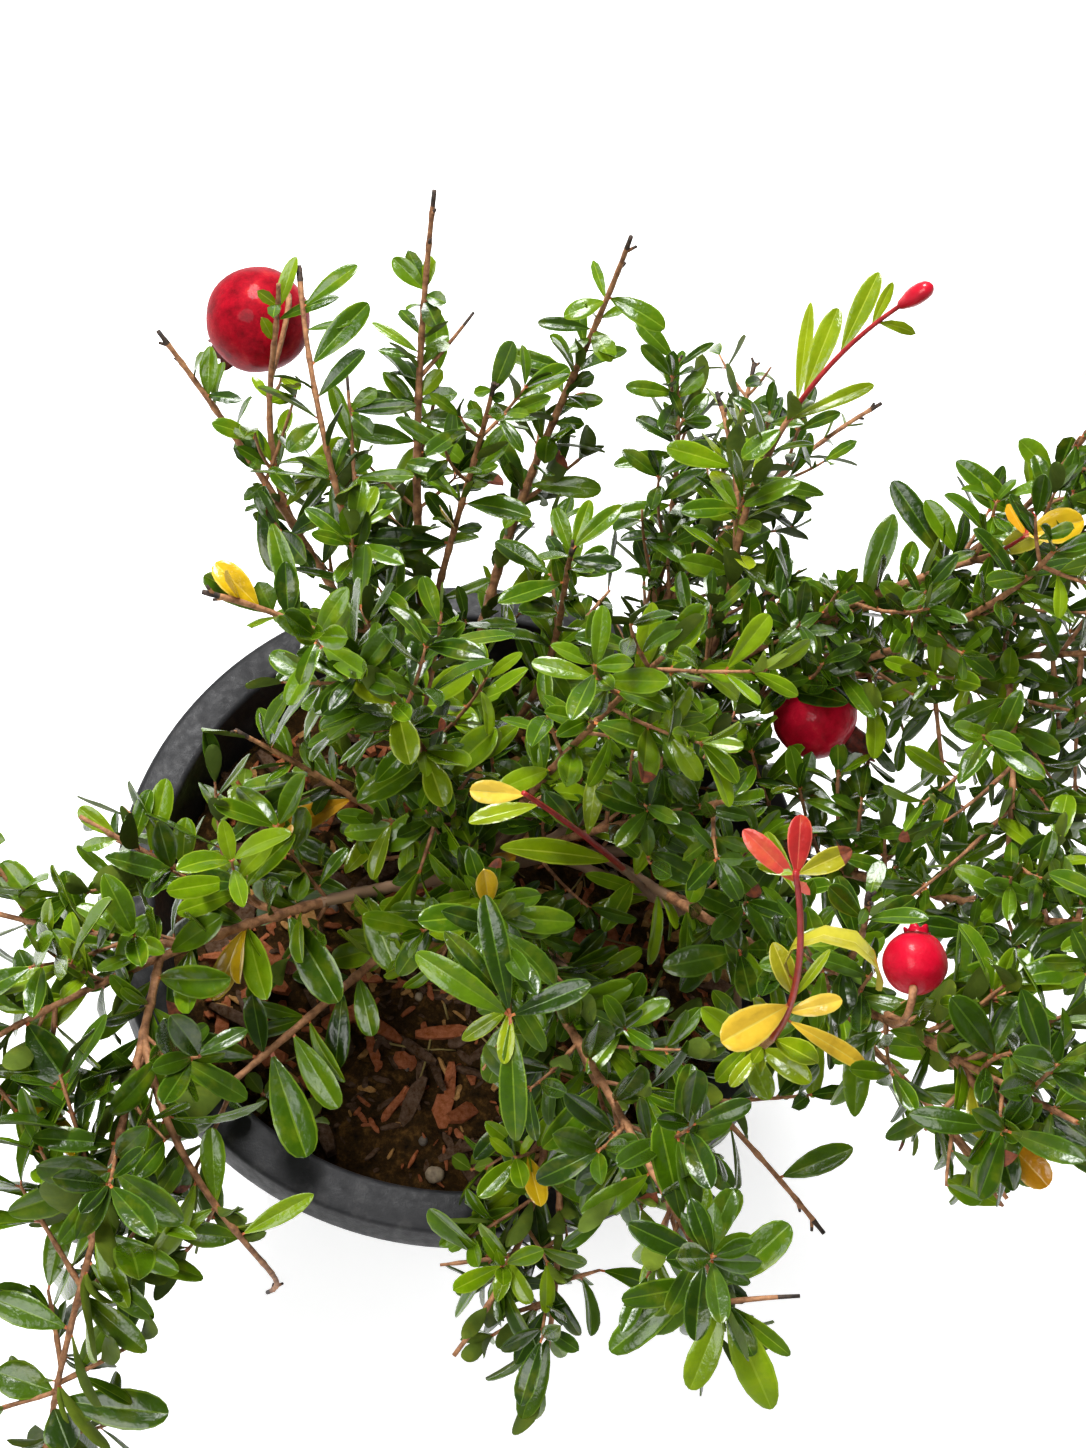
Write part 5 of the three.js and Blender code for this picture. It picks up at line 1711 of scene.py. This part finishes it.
def plant_seedlings():
    """Adds each seedling's stem and its four leaves to the plant's."""
    dice = Dice(74)
    for pixel in SEEDLINGS:
        ray = unit(from_photo(pixel, 1) - EYE)
        foot = EYE + ray * (SOIL["top"] - EYE[2]) / ray[2]
        foot[2] = height_at(foot[0], foot[1]) + ON_SOIL
        azimuth, length = dice.roll(0, 360), dice.roll(*SEEDLING["stem"])
        stem = Limb(foot, azimuth, SEEDLING["rise"], length, 0, 0, SEEDLING["radii"])
        plant.twigs.append((stem, 0.0, 0.0))
        start = dice.roll(0, 360)
        for number in range(SEEDLING["leaves"]):
            out = heading(start + number * GOLDEN_ANGLE, dice.roll(*SEEDLING["leaf_rise"]))
            facing = unit(UP - out * out[2])
            length = dice.roll(*SEEDLING["leaf"])
            width = length * SEEDLING["leaf_width"]
            looks = plant.looks(dice, dice.roll(*SEEDLING["curl"]))
            root = stem.point(1 - number * SEEDLING["joint"])
            plant.keep("seedling", root, out, facing, length, width, looks)


# ---------- fruits and bud ----------

# The crown's outer and then inner side, each as (radius, height) over the fruit's radius, and how
# far its six teeth stand up there.
CROWN = [
    (0.34, 0.86, 0),
    (0.3, 0.98, 0),
    (0.29, 1.1, 0),
    (0.34, 1.24, 0.25),
    (0.42, 1.34, 1),
    (0.38, 1.33, 1),
    (0.27, 1.2, 0.25),
    (0.22, 1.08, 0),
    (0.2, 0.96, 0),
]
CROWN_TEETH = 6
CROWN_TOOTH = 0.24
# The crown's height and width are stretched from here.
CROWN_FOOT = {"height": 0.9, "width": 0.28}
STAMENS = 26
# Each skin: the shader's roughness, specular, coat and coat roughness, its patches' size, its colours.
SKINS = {
    "ripe": (
        (0.58, 0.05, 0.09, 0.08), 6,
        [(0.3, (92, 3, 12)), (0.46, (130, 4, 21)), (0.6, (154, 8, 27)), (0.74, (170, 46, 40))],
    ),
    # The fruit in the leaves' shade has a brighter red skin than the ripe one: painted light.
    "painted_light": (
        (0.45, 0.1, 0.2, 0.06), 6,
        [(0.3, (150, 4, 24)), (0.46, (186, 8, 38)), (0.6, (204, 14, 46)), (0.74, (214, 60, 62))],
    ),
    "young": ((0.4, 0.12, 0.16, 0.12), 5, [(0.3, (164, 3, 28)), (0.7, (194, 10, 42))]),
}
# The bud's width over its widest at shares of its length.
BUD_OUTLINE = [
    (0, 0.4), (0.15, 0.66), (0.32, 0.92), (0.5, 1), (0.7, 0.95), (0.86, 0.78), (0.95, 0.5), (1, 0.1),
]


def at_fruit(fruit, points):
    """Points about the origin, with +Z turned onto a fruit's axis, brought to its centre."""
    side = unit(np.cross(UP, fruit.axis))
    return points @ np.stack([side, np.cross(fruit.axis, side), fruit.axis]) + fruit.centre


def fruit_body(shell, fruit, kind):
    """The round fruit, faintly six-sided and lumpy, drawn in at its stalk and its crown's foot."""
    radius = fruit.radius
    theta, phi = ball_angles(36, 60)
    swell = 1 + 0.014 * np.cos(6 * phi) * np.sin(theta) ** 2 - 0.05 * np.cos(theta) ** 6
    out, up = swell * np.sin(theta) * radius, -swell * np.cos(theta) * radius
    points = ring_points(out, up, phi).reshape(-1, 3)
    points = np.concatenate([points, [[0, 0, -0.93 * radius], [0, 0, 0.93 * radius]]])
    points = points * (1 + 0.01 * bumps(points, radius * 0.9, 21)[:, None])
    shell.add_ball(at_fruit(fruit, points), phi.size, kind)


def fruit_crown(shell, fruit, kind):
    phi = angles_round(72)
    tooth = np.abs(np.cos(CROWN_TEETH / 2 * phi)) ** 1.4 - 0.45
    rings = []
    for out, up, share in CROWN:
        foot, neck = CROWN_FOOT["height"], CROWN_FOOT["width"]
        up = foot + (up + CROWN_TOOTH * tooth * share - foot) * fruit.tall
        wide = neck + (out - neck) * (1 if share == 0 else fruit.flare) + 0.06 * tooth * share
        rings.append(ring_points(np.maximum(wide, 0.05) * fruit.radius, up * fruit.radius, phi))
    shell.add_tube(at_fruit(fruit, np.concatenate(rings)), phi.size, kind)


def fruit_stamens(shell, fruit, kind):
    """The dry stamens inside the crown."""
    radius = fruit.radius
    dice = Dice(int(radius * 10))
    for _ in range(STAMENS):
        angle, out = dice.roll(0, 2 * math.pi), radius * 0.16 * math.sqrt(dice.roll())
        foot = np.array([out * math.cos(angle), out * math.sin(angle), 0.94 * radius])
        tip = foot * [1.5, 1.5, 1] + np.array([0, 0, radius * dice.roll(0.2, 0.36)])
        line = np.stack([foot, (foot + tip) / 2 + dice.roll(-0.3, 0.3), tip])
        tube(shell, at_fruit(fruit, line), [0.16, 0.13, 0.24], 5, kind)


def make_fruits():
    """Faces count the skins first, and then the dry crown and the stamens."""
    shell = Shell()
    dry, stamens = len(SKINS), len(SKINS) + 1
    for fruit in fruits:
        skin = list(SKINS).index(fruit.skin)
        fruit_body(shell, fruit, skin)
        fruit_crown(shell, fruit, skin if fruit.skin == "young" else dry)
        fruit_stamens(shell, fruit, stamens)
    materials = []
    for name, (gloss, size, stops) in SKINS.items():
        finish = Finish(f"{name}_skin", *gloss).tints(stops, size, detail=6, roughness=0.68)
        materials.append(finish.bump(0.12, 0.7, detail=3))
    crown = two_tone("dry_crown", (46, 22, 16), (120, 44, 28), 2.5)
    stamen = two_tone("stamens", (120, 80, 30), (196, 152, 70), 1, roughness=0.7)
    return shell.piece("fruits", [*materials, crown.material, stamen.material], "foliage")


def make_bud():
    """A long closed bud: a waxy tube that swells and closes to a blunt point."""
    branch = branches[BUD["branch"]]
    along = branch.along(1.0)
    root = branch.point(1.0) - along * BUD["sunk"] * BUD["length"]
    shares = np.linspace(0, 1, 22)
    radii = np.interp(shares, *np.array(BUD_OUTLINE).T) * BUD["width"] / 2

    def ribs(points):
        return 0.05 * np.cos(6 * np.arctan2(points[:, 2] - root[2], points[:, 0] - root[0]))

    shell = Shell()
    tube(shell, root + along * (shares * BUD["length"])[:, None], radii, 30, relief=ribs)
    finish = Finish("bud_skin", 0.35, 0.2, 0.3).tints([(0.3, (160, 6, 30)), (0.7, (194, 20, 42))], 5)
    return shell.piece("flower_bud", [finish.material], "young_foliage")


# ---------- studio ----------

LAMPS = {
    "key": {"size": 620, "place": (-250, 700, 1500), "power": 38},
    "fill": {"size": 900, "place": (-450, -650, 1500), "power": 15},
}
LAMPS_AIM = (0, 0, 250)
# The studio's walls are bright near the floor, and dim towards the ceiling, for deep greens with
# crisp highlights.
WALLS = {"From Min": 0.1, "From Max": 0.6, "To Min": 0.6, "To Max": 0.12}
PAPER = {
    "Base Color": (0.93, 0.93, 0.93, 1),
    "Emission Color": (1, 1, 1, 1),
    "Emission Strength": 0.56,
}
FLOOR_HALF = 6  # metres


def turned_to(name, data, place, axes):
    """An object at a place, whose own axes lie along these three."""
    made = bpy.data.objects.new(name, data)
    turn = Matrix([list(row) for row in np.stack(axes, axis=1)]).to_4x4()
    made.matrix_world = Matrix.Translation(np.array(place) * MM) @ turn
    bpy.context.scene.collection.objects.link(made)
    return made


def place_camera():
    data = bpy.data.cameras.new("camera")
    data.sensor_width = SENSOR
    data.lens = CAMERA["focal"] * SENSOR / PHOTO["height"]
    data.clip_start = 0.01
    bpy.context.scene.camera = turned_to("camera", data, EYE, [RIGHT, ABOVE, BACK])


def place_lamp(name, size, place, power):
    data = bpy.data.lights.new(name, "AREA")
    data.shape = "DISK"
    data.size = size * MM
    data.energy = power
    back = unit(np.array(place, float) - np.array(LAMPS_AIM, float))
    side = unit(np.cross(UP, back))
    turned_to(name, data, place, [side, np.cross(back, side), back])


def make_studio():
    """The pale floor, the walls' light and the lamps."""
    mesh = bpy.data.meshes.new("floor")
    corners = [(-1, -1), (1, -1), (1, 1), (-1, 1)]
    mesh.from_pydata([(x * FLOOR_HALF, y * FLOOR_HALF, 0) for x, y in corners], [], [(0, 1, 2, 3)])
    floor = bpy.data.objects.new("floor", mesh)
    bpy.context.scene.collection.objects.link(floor)
    paper = Finish("paper", 0.9, 0.1)
    set_inputs(paper.shader, PAPER)
    mesh.materials.append(paper.material)
    world = bpy.data.worlds.new("studio")
    world.use_nodes = True
    tree = world.node_tree
    background = set_inputs(tree.nodes["Background"], {"Color": (1, 1, 1, 1)})
    split = tree.nodes.new("ShaderNodeSeparateXYZ")
    tree.links.new(tree.nodes.new("ShaderNodeTexCoord").outputs["Generated"], split.inputs["Vector"])
    fade = set_inputs(tree.nodes.new("ShaderNodeMapRange"), WALLS)
    tree.links.new(split.outputs["Z"], fade.inputs["Value"])
    tree.links.new(fade.outputs["Result"], background.inputs["Strength"])
    bpy.context.scene.world = world
    for name, lamp in LAMPS.items():
        place_lamp(name, **lamp)
    view = bpy.context.scene.view_settings
    view.view_transform = "Standard"
    view.look = "None"


# ---------- the whole object ----------

place_camera()
make_studio()
plant_seedlings()

foliage_nodes = [f"foliage_{mass}" for mass in masses]
bough_nodes = [f"bough_{mass}" for mass in masses]

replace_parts(make_pot(), "pot")
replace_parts(make_soil(), "soil")
make_chips()
make_stones()
make_straws()
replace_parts(make_trunk(), "trunk")
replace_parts(make_boughs(), *bough_nodes)
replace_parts(make_twigs(), *foliage_nodes)
for leaves in make_leaves():
    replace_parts(leaves, *foliage_nodes)
make_fruits()
make_bud()
